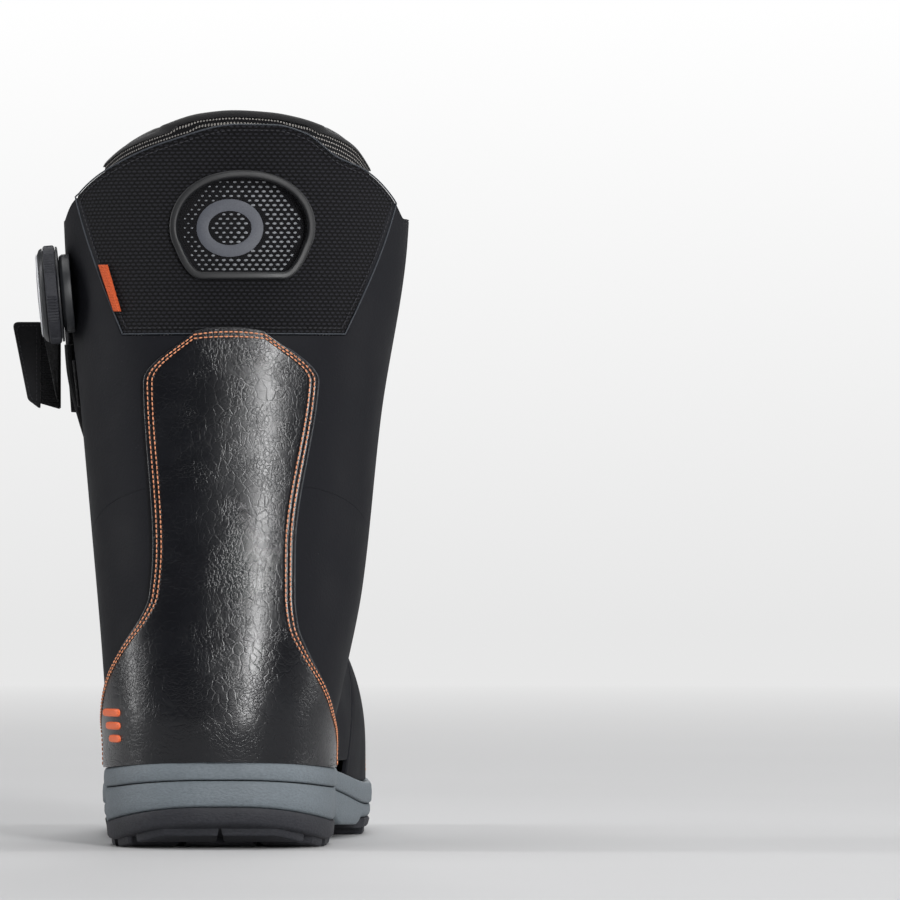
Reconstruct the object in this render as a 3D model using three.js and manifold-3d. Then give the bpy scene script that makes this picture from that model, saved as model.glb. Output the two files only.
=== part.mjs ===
// A left snowboard boot with a side lace dial: sole unit, shell, tongue, strap, lace, dial and removable liner.
// Millimetres. +Y points to the toe, +X to the inner side of the foot and +Z up.
// The origin is on the floor, under the middle of the heel.
import * as THREE from "three";
import Module from "manifold-3d";
import { mergeVertices } from "three/addons/utils/BufferGeometryUtils.js";

const wasm = await Module();
wasm.setup();

// ---------------------------------------------------------------- driving dimensions
const HEEL_BACK = -48; // y of the heel's rearmost point
const FOOT_LENGTH = 301; // heel back to toe tip, over the upper
const SHELL_HEIGHT = 291; // floor to the shell's top edge at the back
const LEG_MEDIAL = 79; // reach of the cuff from the heel's centre line at the shell's top, inner side
const LEG_LATERAL = 65; // the same, outer side
const HEEL_HALF_WIDTH = 44.5; // upper where it meets the sole
const BALL_MEDIAL = 61; // forefoot reach, inner side
const BALL_LATERAL = 46.5; // forefoot reach, outer side
const SECTION_POWER = 2.35; // superellipse power of every section
const TOE_POWER = 2.4; // superellipse power of the toe in plan
const INSTEP_BLEND = 44; // size of the fillet between the leg and the foot

const SHELL_WALL = 2.2; // outer panels
const OVERLAY_GAP = 1.4; // air under an overlay, which lies on curved facets
const OVERLAY_WALL = 1.5; // overlays such as the backstay
const SEAM_GAP = 0.8; // between panels that meet edge to edge
const COUNTER_WALL = 1.6; // plastic heel cup inside the shell
const LAYER_GAP = 0.9; // between layers inside the shell
const LINER_WALL = 7.5; // foam bootie
const LINER_CLEARANCE = 2.4; // bootie to the heel cup

const SOLE_LIP = 2.8; // sole edge beyond the upper
const RIM_WALL = 4; // width of the sole's upper rim
const TREAD_DEPTH = 3; // lugs below the outsole's base
const LUG_PITCH = 17; // one lug lies under the origin
const LUG_LENGTH = 11;
const PART_GAP = 0.3; // between pieces that touch

const DIAL_RADIUS = 20;
const DIAL_HEIGHT = 224; // of its centre above the floor
const DIAL_Y = 20; // of its centre ahead of the heel's middle
const DIAL_TILT = 5; // its face leans down with the cuff
const LACE_RADIUS = 0.75;
const LACE_STEPS = 104; // stations along the lace
const STRAP_WIDTH = 36;
const STRAP_WALL = 2.2;
const STRAP_STANDOFF = 7; // clears the lace
const STRAP_HEIGHT = 195; // of its middle above the floor
const STRAP_TAIL = 20; // free end beyond the hinge line
const THROAT_HALF = 27; // half the opening between the eyestays at its top
const THROAT_HALF_LOW = 21; // the same at its bottom
const TONGUE_GAP = 2; // tongue edge to eyestay edge

// ---------------------------------------------------------------- small helpers
const rad = THREE.MathUtils.degToRad;
const deg = THREE.MathUtils.radToDeg;
const mix = THREE.MathUtils.lerp;
const clamp = THREE.MathUtils.clamp;
const smooth = (x, lo, hi) => THREE.MathUtils.smoothstep(x, lo, hi);

// A smooth curve through [x, value] stations, held level beyond its ends, which never overshoots them.
function profile(stations) {
  const xs = stations.map((s) => s[0]);
  const vs = stations.map((s) => s[1]);
  const slopes = xs.slice(1).map((x, i) => (vs[i + 1] - vs[i]) / (x - xs[i]));
  const tangents = vs.map((_, i) => {
    if (i === 0 || i === vs.length - 1) return 0;
    const [a, b] = [slopes[i - 1], slopes[i]];
    return a * b <= 0 ? 0 : (2 * a * b) / (a + b);
  });
  tangents[0] = slopes[0];
  tangents[vs.length - 1] = slopes[slopes.length - 1];
  return (x) => {
    if (x <= xs[0]) return vs[0];
    if (x >= xs[xs.length - 1]) return vs[vs.length - 1];
    const i = xs.findIndex((v) => v > x) - 1;
    const h = xs[i + 1] - xs[i];
    const t = (x - xs[i]) / h;
    return (
      vs[i] * (1 + 2 * t) * (1 - t) ** 2 +
      tangents[i] * h * t * (1 - t) ** 2 +
      vs[i + 1] * t * t * (3 - 2 * t) +
      tangents[i + 1] * h * t * t * (t - 1)
    );
  };
}

// ---------------------------------------------------------------- the boot's outer surface
const TOE_Y = HEEL_BACK + FOOT_LENGTH;
const alongFoot = (share) => HEEL_BACK + share * FOOT_LENGTH;
const upShell = (share) => share * SHELL_HEIGHT;

// The leg: outer reach, inner reach, back and front at heights up the shell.
const legLateral = profile([
  [upShell(0.11), HEEL_HALF_WIDTH],
  [upShell(0.18), 46],
  [upShell(0.29), 48.4],
  [upShell(0.43), 52],
  [upShell(0.6), 56.5],
  [upShell(0.84), LEG_LATERAL - 1.6],
  [upShell(1), LEG_LATERAL],
]);
const legMedial = profile([
  [upShell(0.11), HEEL_HALF_WIDTH],
  [upShell(0.18), 47.5],
  [upShell(0.36), 58],
  [upShell(0.6), 65.8],
  [upShell(0.84), LEG_MEDIAL - 2.4],
  [upShell(1), LEG_MEDIAL],
]);
const legBack = profile([
  [upShell(0.11), HEEL_BACK + 2.5],
  [upShell(0.18), HEEL_BACK],
  [upShell(0.36), HEEL_BACK + 5],
  [upShell(0.6), HEEL_BACK + 13.5],
  [upShell(1), HEEL_BACK + 24],
]);
const legFront = profile([
  [upShell(0.11), 72],
  [upShell(0.36), 86],
  [upShell(0.6), 98],
  [upShell(1), 119],
]);

// The foot: outer reach, inner reach and top at places along it.
const FOOT_START = alongFoot(0.22);
const TOE_START = alongFoot(0.75);
const FOOT_BASE = 34; // height below which the foot's sides are upright
const footLateral = profile([
  [alongFoot(0.2), HEEL_HALF_WIDTH],
  [alongFoot(0.4), 44.5],
  [alongFoot(0.64), BALL_LATERAL],
  [TOE_START, BALL_LATERAL - 1],
]);
const footMedial = profile([
  [alongFoot(0.2), HEEL_HALF_WIDTH],
  [alongFoot(0.4), 50],
  [alongFoot(0.64), BALL_MEDIAL],
  [TOE_START, BALL_MEDIAL - 0.5],
]);
const footTop = profile([
  [FOOT_START, 128],
  [alongFoot(0.49), 114],
  [alongFoot(0.64), 99],
  [TOE_START, 88],
]);

function legAt(z) {
  const [lateral, medial, back, front] = [legLateral(z), legMedial(z), legBack(z), legFront(z)];
  return {
    centre: (medial - lateral) / 2,
    half: (medial + lateral) / 2,
    y: (back + front) / 2,
    depth: (front - back) / 2,
  };
}

function footAt(y) {
  const past = clamp((y - TOE_START) / (TOE_Y - TOE_START), 0, 0.9999);
  const taper = (1 - past ** TOE_POWER) ** (1 / TOE_POWER);
  const [lateral, medial] = [footLateral(y), footMedial(y)];
  return {
    centre: (medial - lateral) / 2 + 2 * past,
    half: ((medial + lateral) / 2) * taper,
    height: (footTop(y) - FOOT_BASE) * taper,
  };
}

// Half the width at (y, z), its centre, and how far (y, z) is from the core, 0, to the side view's outline, 1.
function sectionAt(y, z) {
  const leg = legAt(z);
  const foot = footAt(y);
  const legSide = Math.abs(y - leg.y) - leg.depth;
  const footSide = Math.max(z - FOOT_BASE - foot.height, FOOT_START - y);
  const share = clamp(0.5 + (0.5 * (legSide - footSide)) / INSTEP_BLEND, 0, 1);
  const side = mix(legSide, footSide, share) - INSTEP_BLEND * share * (1 - share);
  const core = mix(leg.depth, foot.height, share);
  const ahead = smooth(y, 20, 100);
  const up = smooth(z, mix(32, 80, ahead), mix(60, 130, ahead));
  return {
    centre: mix(foot.centre, leg.centre, up),
    half: mix(foot.half, leg.half, up),
    side: Math.max(0, 1 + side / core),
  };
}

const LEVEL_SCALE = 50; // turns the section's share into about millimetres
function level(p) {
  const s = sectionAt(p.y, p.z);
  const across = Math.abs(p.x - s.centre) / s.half;
  const rho = (across ** SECTION_POWER + s.side ** SECTION_POWER) ** (1 / SECTION_POWER);
  return (rho - 1) * LEVEL_SCALE;
}

const STEP = 0.4; // for the slope of the surface
function slopeAt(p) {
  const d = (x, y, z) => level({ x: p.x + x, y: p.y + y, z: p.z + z });
  return new THREE.Vector3(
    d(STEP, 0, 0) - d(-STEP, 0, 0),
    d(0, STEP, 0) - d(0, -STEP, 0),
    d(0, 0, STEP) - d(0, 0, -STEP),
  ).divideScalar(2 * STEP);
}

// The surface point that a ray from inside meets, with the outward normal there.
function cast(origin, direction) {
  const at = (r) => origin.clone().addScaledVector(direction, r);
  let near = 0;
  let far = 8;
  while (level(at(far)) < 0 && far < 400) {
    near = far;
    far += 8;
  }
  for (let i = 0; i < 30; i++) {
    const middle = (near + far) / 2;
    if (level(at(middle)) < 0) near = middle;
    else far = middle;
  }
  const point = at(near);
  return { point, normal: slopeAt(point).normalize() };
}

// Level rays round the leg: angle 0 is the back, positive the inner side, 180 the front.
function round(angle, z) {
  const leg = legAt(z);
  const origin = new THREE.Vector3(leg.centre, leg.y, z);
  return cast(origin, new THREE.Vector3(Math.sin(rad(angle)), -Math.cos(rad(angle)), 0));
}

// Rays over the front: planes through a line ahead of the instep fan from the toe, station 0, to level, 90.
// Beyond 90 a station adds millimetres of height, and below 0 it adds them toward the toe.
const FAN_Y = alongFoot(0.874);
const FAN_Z = 235;
const FAN_RADIUS = 185;
function over(angle, station) {
  const turn = rad(clamp(station, 0, 90));
  const down = new THREE.Vector3(0, -Math.sin(turn), -Math.cos(turn));
  const origin = new THREE.Vector3(0, FAN_Y, FAN_Z).addScaledVector(down, FAN_RADIUS);
  const past = Math.max(0, -station);
  origin.y += past;
  origin.z -= (FAN_Z - FAN_RADIUS - FOOT_BASE) * Math.min(1, past / (TOE_Y - FAN_Y));
  origin.z += Math.max(0, station - 90);
  const s = sectionAt(origin.y, origin.z);
  origin.x = s.centre;
  const direction = down.multiplyScalar(-Math.cos(rad(angle)));
  direction.x = Math.sin(rad(angle));
  return cast(origin, direction);
}
const fanAngle = (p) => deg(Math.atan2(FAN_Y - p.y, FAN_Z - p.z));
// Stations from low to high that are about evenly spaced over the surface.
const FAN_SPACING = 2.9; // millimetres of surface to a fan station
function stationAt(low, high, share) {
  const fan = (90 - low) * FAN_SPACING;
  const along = share * (fan + high - 90);
  return along < fan ? low + along / FAN_SPACING : 90 + along - fan;
}

// The value between low and high where test turns from true to false.
function edgeOf(test, low, high) {
  let [yes, no] = [low, high];
  for (let i = 0; i < 24; i++) {
    const middle = (yes + no) / 2;
    if (test(middle)) yes = middle;
    else no = middle;
  }
  return (yes + no) / 2;
}

// ---------------------------------------------------------------- solids
const solidOf = (geometry) => {
  const bare = geometry.index ? geometry.toNonIndexed() : geometry.clone();
  bare.deleteAttribute("normal");
  bare.deleteAttribute("uv");
  const merged = mergeVertices(bare, 1e-4);
  return new wasm.Manifold(
    new wasm.Mesh({
      numProp: 3,
      vertProperties: merged.attributes.position.array,
      triVerts: new Uint32Array(merged.index.array),
    }),
  );
};

const geometryOf = (solid) => {
  const mesh = solid.getMesh();
  return new THREE.BufferGeometry()
    .setAttribute("position", new THREE.BufferAttribute(mesh.vertProperties, 3))
    .setIndex(new THREE.BufferAttribute(mesh.triVerts, 1));
};

// A closed body from rings of points, each ring with the same even count, capped at both ends.
function loft(rings) {
  const n = rings[0].length;
  const points = rings.flat();
  const faces = [];
  for (let i = 0; i + 1 < rings.length; i++)
    for (let j = 0; j < n; j++) {
      const k = (j + 1) % n;
      const [a, b, c, d] = [i * n + j, i * n + k, (i + 1) * n + k, (i + 1) * n + j];
      faces.push(a, b, c, a, c, d);
    }
  // The caps are ladders between the ring's first half and its second, which keeps to a bent strip.
  const last = (rings.length - 1) * n;
  for (let j = 0; j + 1 < n / 2; j++) {
    const [a, b, c, d] = [j, j + 1, n - 2 - j, n - 1 - j];
    faces.push(a, c, b, a, d, c);
    faces.push(last + a, last + b, last + c, last + a, last + c, last + d);
  }
  const geometry = new THREE.BufferGeometry()
    .setAttribute("position", new THREE.Float32BufferAttribute(points.flatMap((p) => [p.x, p.y, p.z]), 3))
    .setIndex(faces);
  const solid = solidOf(geometry);
  if (solid.volume() > 0) return solid;
  for (let i = 0; i < faces.length; i += 3) [faces[i], faces[i + 1]] = [faces[i + 1], faces[i]];
  return solidOf(geometry.setIndex(faces));
}

// A sheet over the surface: hit(u, v) gives a point and normal, and the sheet lies between two offsets from it.
function sheet(hit, across, up, outer, inner) {
  const rings = [];
  for (let i = 0; i <= across; i++) {
    const hits = Array.from({ length: up + 1 }, (_, j) => hit(i / across, j / up));
    const at = (h, offset) => h.point.clone().addScaledVector(h.normal, offset);
    rings.push([...hits.map((h) => at(h, outer)), ...hits.reverse().map((h) => at(h, inner))]);
  }
  return loft(rings);
}

// A body through flat sections along y, each [y, left x, right x, low z, high z].
const slab = (sections) =>
  loft(
    sections.map(([y, left, right, low, high]) => [
      new THREE.Vector3(left, y, low),
      new THREE.Vector3(right, y, low),
      new THREE.Vector3(right, y, high),
      new THREE.Vector3(left, y, high),
    ]),
  );

const turned = (points, sides) =>
  new THREE.LatheGeometry(points.map(([r, y]) => new THREE.Vector2(r, y)), sides);

// A round bar along a curve, as a closed solid.
function bar(curve, steps, radius, sides) {
  const section = new THREE.Shape(
    Array.from({ length: sides }, (_, i) => {
      const a = (2 * Math.PI * i) / sides;
      return new THREE.Vector2(radius * Math.cos(a), radius * Math.sin(a));
    }),
  );
  return solidOf(new THREE.ExtrudeGeometry(section, { steps, extrudePath: curve, bevelEnabled: false }));
}
const through = (points) => new THREE.CatmullRomCurve3(points, false, "centripetal");

// ---------------------------------------------------------------- materials and the group
const boot = new THREE.Group();
const finish = (color, roughness, metalness = 0) =>
  new THREE.MeshStandardMaterial({ color, roughness, metalness });
const MATERIALS = {
  matte: finish(0x1b1d22, 0.75),
  leather: finish(0x14161a, 0.35),
  mesh: finish(0x0e0f12, 0.95),
  liner: finish(0x18181a, 0.95),
  sole: finish(0x66727a, 0.8),
  outsole: finish(0x26282f, 0.85),
  plastic: finish(0x1f2328, 0.45),
  webbing: finish(0x0b0b0d, 0.9),
  orange: finish(0xe2532a, 0.7),
  steel: finish(0x9a9da2, 0.35, 1),
  foam: finish(0x3b3d42, 0.95),
  board: finish(0x55504a, 0.9),
};

function add(name, shape, material, parent = boot) {
  const geometry = shape.isBufferGeometry ? shape : geometryOf(shape);
  const mesh = new THREE.Mesh(geometry, MATERIALS[material]);
  mesh.name = name;
  parent.add(mesh);
  return mesh;
}

// ---------------------------------------------------------------- sole
// Shares of the heel's round back, 0 at its widest place and 1 at the rearmost point.
const HEEL_WIDEST = alongFoot(0.2);
const SOLE_BACK = HEEL_BACK + 2.5 - SOLE_LIP;
const SOLE_FRONT = TOE_Y + SOLE_LIP;
const lift = (y) => clamp((HEEL_WIDEST - y) / (HEEL_WIDEST - SOLE_BACK), 0, 1) ** 2;
const BEVEL_START = -8; // behind this the heel's underside rises
const bevel = (y) => clamp((BEVEL_START - y) / (BEVEL_START - SOLE_BACK), 0, 1) ** 1.6;
const forward = (y) => smooth(y, alongFoot(0.25), alongFoot(0.6));
const toeLift = (y) => clamp((y - alongFoot(0.8)) / (SOLE_FRONT - alongFoot(0.8)), 0, 1) ** 2;
const arch = (y) => smooth(y, alongFoot(0.37), alongFoot(0.41)) * (1 - smooth(y, alongFoot(0.5), alongFoot(0.54)));
const rimTop = (y) => mix(31.5, 22, forward(y)) + 4.2 * lift(y) + 8 * toeLift(y);
const groove = (y) => mix(23.8, 13, forward(y)) + 4.4 * lift(y) + 7 * toeLift(y);
const outsoleTop = (y) => mix(10.3, 7.5, forward(y)) + 7.6 * lift(y) + 7 * toeLift(y);
const soleBottom = (y) => 7.8 * bevel(y) + 6 * toeLift(y);

// The sole's two edges at y, set in by inset.
function soleEdges(y, inset = 0) {
  const back = SOLE_BACK + inset;
  const front = SOLE_FRONT - inset;
  const share = clamp((y - back) / (front - back), 0.0005, 0.9995);
  const onUpper = HEEL_BACK + 2.5 + share * (TOE_Y - HEEL_BACK - 2.5);
  const s = sectionAt(onUpper, FOOT_BASE);
  const half = s.half * (1 - Math.min(s.side, 0.9999) ** SECTION_POWER) ** (1 / SECTION_POWER);
  const wide = Math.max(half + SOLE_LIP - inset, 1);
  return [s.centre - wide, s.centre + wide];
}

// Places along the sole from low to high, closer together at a round end.
function places(low, high, count, roundLow, roundHigh) {
  return Array.from({ length: count + 1 }, (_, i) => {
    const t = i / count;
    const a = roundLow ? 1 - Math.cos((t * Math.PI) / 2) : t;
    const b = roundHigh ? Math.sin((t * Math.PI) / 2) : t;
    const share = roundLow && roundHigh ? (1 - Math.cos(t * Math.PI)) / 2 : roundLow ? a : roundHigh ? b : t;
    return mix(low, high, share);
  });
}

const solePlate = (ys, inset, low, high) =>
  slab(ys.map((y) => [y, ...soleEdges(y, inset), low(y), high(y)]));

const wholeSole = (inset) => places(SOLE_BACK + inset, SOLE_FRONT - inset, 28, true, true);
const SOLE_PLACES = wholeSole(0);
// The sole's own stations nearest the arch's ends, so the outsole meets the midsole facet to facet.
const stationNear = (y) => SOLE_PLACES.reduce((best, s) => (Math.abs(s - y) < Math.abs(best - y) ? s : best));
const ARCH_BACK = stationNear(alongFoot(0.35));
const ARCH_FRONT = stationNear(alongFoot(0.56));

const PAD_BACK = alongFoot(0.06);
const PAD_FRONT = alongFoot(0.23);
function outsole(low, high) {
  let made = solePlate(
    SOLE_PLACES.filter((y) => y >= low && y <= high),
    0,
    (y) => soleBottom(y) + TREAD_DEPTH,
    (y) => outsoleTop(y) - PART_GAP,
  );
  const first = Math.ceil((low + LUG_LENGTH) / LUG_PITCH);
  const last = Math.floor((high - LUG_LENGTH) / LUG_PITCH);
  for (let i = first; i <= last; i++) {
    const middle = i * LUG_PITCH;
    const ys = places(middle - LUG_LENGTH / 2, middle + LUG_LENGTH / 2, 3, false, false);
    made = made.add(solePlate(ys, 3.5, soleBottom, (y) => soleBottom(y) + TREAD_DEPTH + 0.5));
  }
  return made;
}

function buildSole() {
  add("outsole_heel", outsole(SOLE_BACK, ARCH_BACK), "outsole");
  add("outsole_forefoot", outsole(ARCH_FRONT, SOLE_FRONT), "outsole");

  const midsole = solePlate(
    wholeSole(0),
    0,
    (y) => mix(outsoleTop(y), outsoleTop(y) - 3, arch(y)),
    (y) => groove(y) - PART_GAP,
  );
  // A pocket in the heel for the crash pad, and a long one for the shank, both open at the top.
  const padPocket = slab([
    [PAD_BACK, -28, 28, 15, 60],
    [PAD_FRONT, -28, 28, 15, 60],
  ]);
  const shankAt = (trim, low, high) =>
    slab(
      places(alongFoot(0.26) + trim, alongFoot(0.59) - trim, 4, false, false).map((y) => [
        y,
        trim - 14,
        14 - trim,
        groove(y) - low,
        groove(y) - high,
      ]),
    );
  const shankPocket = shankAt(0, 4.5, -40);
  add("midsole", midsole.subtract(padPocket).subtract(shankPocket), "sole");
  const pad = slab([
    [PAD_BACK + PART_GAP, -28 + PART_GAP, 28 - PART_GAP, 15 + PART_GAP, 23],
    [PAD_FRONT - PART_GAP, -28 + PART_GAP, 28 - PART_GAP, 15 + PART_GAP, 23],
  ]);
  add("heel_crash_pad", pad, "foam");
  add("shank_plate", shankAt(PART_GAP, 4.5 - PART_GAP, 1), "steel");

  const rim = solePlate(wholeSole(0), 0, groove, rimTop);
  const inside = solePlate(wholeSole(RIM_WALL), RIM_WALL, () => -5, () => 80);
  add("sole_rim", rim.subtract(inside), "sole");
  const BOARD_WALL = 3;
  const board = solePlate(
    wholeSole(RIM_WALL + PART_GAP),
    RIM_WALL + PART_GAP,
    (y) => groove(y) + 0.2,
    (y) => groove(y) + 0.2 + BOARD_WALL,
  );
  add("lasting_board", board, "board");
}
const boardTop = (y) => groove(y) + 3.2;

// ---------------------------------------------------------------- shell
// Top edge of the shell round the leg, as [angle, height below the top at the back].
const TOP_EDGE = profile(
  [
    [-180, 29],
    [-110, 37],
    [-80, 38],
    [-65, 30],
    [-46, 18.5],
    [-22, 6.6],
    [0, 0],
    [12, 0.2],
    [22, 3.5],
    [33, 13],
    [43, 17.5],
    [60, 29.5],
    [70, 37],
    [110, 37],
    [180, 29],
  ].map(([angle, drop]) => [angle, -drop]),
);
const topEdge = (angle) => SHELL_HEIGHT + TOP_EDGE(angle);

const bottomEdge = (angle) => rimTop(round(angle, FOOT_BASE).point.y) + 0.7;
const throatHalf = profile([
  [95, THROAT_HALF_LOW],
  [upShell(0.6), mix(THROAT_HALF_LOW, THROAT_HALF, 0.6)],
  [upShell(0.9), THROAT_HALF],
]);
const THROAT = 28; // fan angle of the throat's lower end
const SIDE_SEAM = 31.5; // fan angle of the vamp seam at the sides
const seamAngle = (p) => mix(THROAT, SIDE_SEAM, smooth(Math.abs(p.x - 8), 18, 45));

// How far round toward the front a quarter reaches at height z.
function quarterFront(z, side) {
  const inside = (angle) => {
    const p = round(side * angle, z).point;
    const off = Math.abs(p.x - legAt(z).centre);
    return fanAngle(p) > seamAngle(p) + 0.25 && (p.y < legAt(z).y || off > throatHalf(z));
  };
  return edgeOf(inside, 60, 179.5);
}

// The mesh panel over the calf: its sides lean out from the bottom corners to the top edge.
const MESH_BOTTOM = upShell(0.711);
const MESH_CORNER = upShell(0.897); // where its sides meet the top edge
const MESH_HALF_BOTTOM = 39.5; // degrees round the leg
const MESH_HALF_TOP = 62;
const meshHalf = (z) => mix(MESH_HALF_BOTTOM, MESH_HALF_TOP, (z - MESH_BOTTOM) / (MESH_CORNER - MESH_BOTTOM));
function meshPanel(outer, inner, grow) {
  return sheet(
    (u, v) => {
      const side = 2 * u - 1;
      const high = topEdge(side * MESH_HALF_TOP) + (grow > 0 ? 12 : 0);
      const z = mix(MESH_BOTTOM - grow, high, v);
      return round(side * (meshHalf(z) + grow), z);
    },
    16,
    5,
    outer,
    inner,
  );
}

// The seam between a quarter's cuff part and its foot part drops toward the front.
const flexSeam = (angle) => upShell(mix(0.5, 0.425, smooth(angle, 20, 90)));

function quarterPart(side, lowEdge, highEdge, rows) {
  const whole = sheet(
    (u, v) => {
      const z = (share) => {
        const rough = mix(0.35, 150, u);
        return mix(lowEdge(side * rough), highEdge(side * rough), share);
      };
      return round(side * mix(0.35, quarterFront(z(v), side), u), z(v));
    },
    15,
    rows,
    0,
    -SHELL_WALL,
  );
  return whole.subtract(meshPanel(8, -12, 0.7));
}
const cuffQuarter = (side) => quarterPart(side, (a) => flexSeam(Math.abs(a)) + SEAM_GAP, topEdge, 7);
const footQuarter = (side) =>
  quarterPart(side, (a) => bottomEdge(side * Math.min(Math.abs(a), 100)), (a) => flexSeam(Math.abs(a)), 8);

// The window in the mesh panel: an oval with a flat foot.
const WINDOW = { x: 9, z: upShell(0.859), half: 27.5, up: 19.5, down: 18.5, foot: 16 };
function windowShape(grow) {
  const { half, up, down, foot } = WINDOW;
  const shape = new THREE.Shape();
  shape.moveTo(-foot, -down - grow);
  shape.lineTo(foot, -down - grow);
  shape.quadraticCurveTo(foot + 5, -down - grow, half - 3.5 + grow, -8);
  shape.bezierCurveTo(half + 2 + grow, 2, half - 4 + grow, up + grow, 0, up + grow);
  shape.bezierCurveTo(-half + 4 - grow, up + grow, -half - 2 - grow, 2, -half + 3.5 - grow, -8);
  shape.quadraticCurveTo(-foot - 5, -down - grow, -foot, -down - grow);
  return shape;
}
function windowPrism(grow) {
  const geometry = new THREE.ExtrudeGeometry(windowShape(grow), {
    depth: 80,
    bevelEnabled: false,
    curveSegments: 5,
  });
  geometry.rotateX(Math.PI / 2).translate(WINDOW.x, 20, WINDOW.z);
  return solidOf(geometry);
}

// The backstay's edges round the leg, as [height, degrees].
const BACKSTAY_LATERAL = profile(
  [
    [0.1, 95],
    [0.16, 88],
    [0.196, 70],
    [0.23, 58],
    [0.271, 44],
    [0.313, 33],
    [0.344, 29],
    [0.412, 27.5],
    [0.643, 30.5],
    [0.714, 13],
  ].map(([h, a]) => [upShell(h), a]),
);
const BACKSTAY_MEDIAL = profile(
  [
    [0.1, 88],
    [0.137, 82],
    [0.158, 71],
    [0.186, 55],
    [0.223, 42.4],
    [0.261, 31.7],
    [0.302, 25],
    [0.344, 23],
    [0.412, 22.5],
    [0.643, 29.5],
    [0.714, 10],
  ].map(([h, a]) => [upShell(h), a]),
);

function backstay() {
  const top = upShell(0.714);
  return sheet(
    (u, v) => {
      const share = v ** 1.35; // rows lie closer where the outline flares
      const z = mix(rimTop(HEEL_WIDEST) + 1, top, share);
      const angle = mix(-BACKSTAY_LATERAL(z), BACKSTAY_MEDIAL(z), u);
      return round(angle, mix(bottomEdge(angle) + 0.8, top, share));
    },
    18,
    14,
    OVERLAY_GAP + OVERLAY_WALL,
    OVERLAY_GAP,
  );
}

function eyestay(side) {
  const [low, high, wide] = [112, upShell(0.87), 13];
  return sheet(
    (u, v) => {
      const z = mix(low, high, v);
      const front = quarterFront(z, side) - 1;
      return round(side * mix(front - wide, front, u), z);
    },
    3,
    13,
    OVERLAY_GAP + OVERLAY_WALL,
    OVERLAY_GAP,
  );
}

// Angle over the front at which a fan plane meets the sole's rim.
function overRim(station, side) {
  const above = (angle) => {
    const p = over(side * angle, station).point;
    return p.z > rimTop(p.y) + 0.4;
  };
  return edgeOf(above, 30, 150);
}

const TOECAP_SEAM = 10; // fan angle of the toe cap's seam on top
const TOECAP_SIDE = 14; // and where it meets the sole, which is further back
function vamp() {
  const ends = [overRim(20, -1), overRim(20, 1)];
  return sheet(
    (u, v) => {
      const guess = mix(-ends[0], ends[1], u);
      const seam = mix(TOECAP_SEAM, TOECAP_SIDE, Math.abs(2 * u - 1) ** 2) + 0.3;
      const back = seamAngle(over(guess, THROAT).point) - 0.25;
      const station = mix(seam, back, v);
      const angle = mix(-overRim(station, -1), overRim(station, 1), u);
      return over(angle, station);
    },
    16,
    4,
    0,
    -SHELL_WALL,
  );
}

function toeCap() {
  const tip = -(TOE_Y - FAN_Y) + 0.03;
  return sheet(
    (u, v) => {
      const seam = mix(TOECAP_SEAM, TOECAP_SIDE, Math.abs(2 * u - 1) ** 2);
      const station = mix(tip, seam, 1 - Math.cos((v * Math.PI) / 2));
      const angle = mix(-overRim(station, -1), overRim(station, 1), u);
      return over(angle, station);
    },
    12,
    7,
    0,
    -SHELL_WALL,
  );
}

function buildShell() {
  add("lateral_cuff_quarter", cuffQuarter(-1), "matte");
  add("medial_cuff_quarter", cuffQuarter(1), "matte");
  add("lateral_foot_quarter", footQuarter(-1), "matte");
  add("medial_foot_quarter", footQuarter(1), "matte");
  const panel = meshPanel(0, -SHELL_WALL, 0).subtract(windowPrism(0));
  add("calf_mesh_panel", panel, "mesh");
  const gasketLayer = sheet(
    (u, v) => round(mix(-42, 42, u), mix(WINDOW.z - 32, WINDOW.z + 32, v)),
    12,
    5,
    OVERLAY_GAP + OVERLAY_WALL,
    0.4,
  );
  const gasket = gasketLayer.intersect(windowPrism(3)).subtract(windowPrism(-0.2));
  add("window_gasket", gasket, "plastic");
  add("backstay", backstay(), "leather");
  add("lateral_eyestay", eyestay(-1), "matte");
  add("medial_eyestay", eyestay(1), "matte");
  add("vamp", vamp(), "matte");
  add("toe_cap", toeCap(), "leather");

  const counter = sheet(
    (u, v) => round(mix(-78, 78, u), mix(36, 92, v)),
    14,
    4,
    -SHELL_WALL - LAYER_GAP,
    -SHELL_WALL - LAYER_GAP - COUNTER_WALL,
  );
  add("heel_counter", counter, "plastic");

  // A folded fabric label stands out of the mesh panel's outer seam.
  const tag = sheet(
    (u, v) => round(-mix(50.4, 42, v) + 3.6 * u, upShell(mix(0.808, 0.735, v))),
    1,
    3,
    2,
    0.6,
  );
  add("side_label", tag, "orange");
}

// ---------------------------------------------------------------- tongue, strap and lace
const TONGUE_TOP = 90 + SHELL_HEIGHT + 4 - FAN_Z;

// Angle over the front at a station where the point is off to one side by the given distance.
function overAt(offset, station) {
  const side = Math.sign(offset);
  const inside = (angle) => {
    const p = over(side * angle, station).point;
    const middle = over(0, station).point.x;
    return Math.abs(p.x - middle) < Math.abs(offset);
  };
  return side * edgeOf(inside, 0, 85);
}

function tongueSheet(low, high, trim, outer, inner, across, up, rounded = true) {
  return sheet(
    (u, v) => {
      const station = stationAt(low, high, v);
      const z = over(0, station).point.z;
      const ends = 1 - 0.45 * smooth(v, 0.88, 1) ** 2 - 0.22 * (1 - smooth(v, 0, 0.09));
      const half = (throatHalf(z) - TONGUE_GAP - trim) * (rounded ? ends : 1);
      return over(overAt(mix(-half, half, u), station), station);
    },
    across,
    up,
    outer,
    inner,
  );
}

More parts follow.
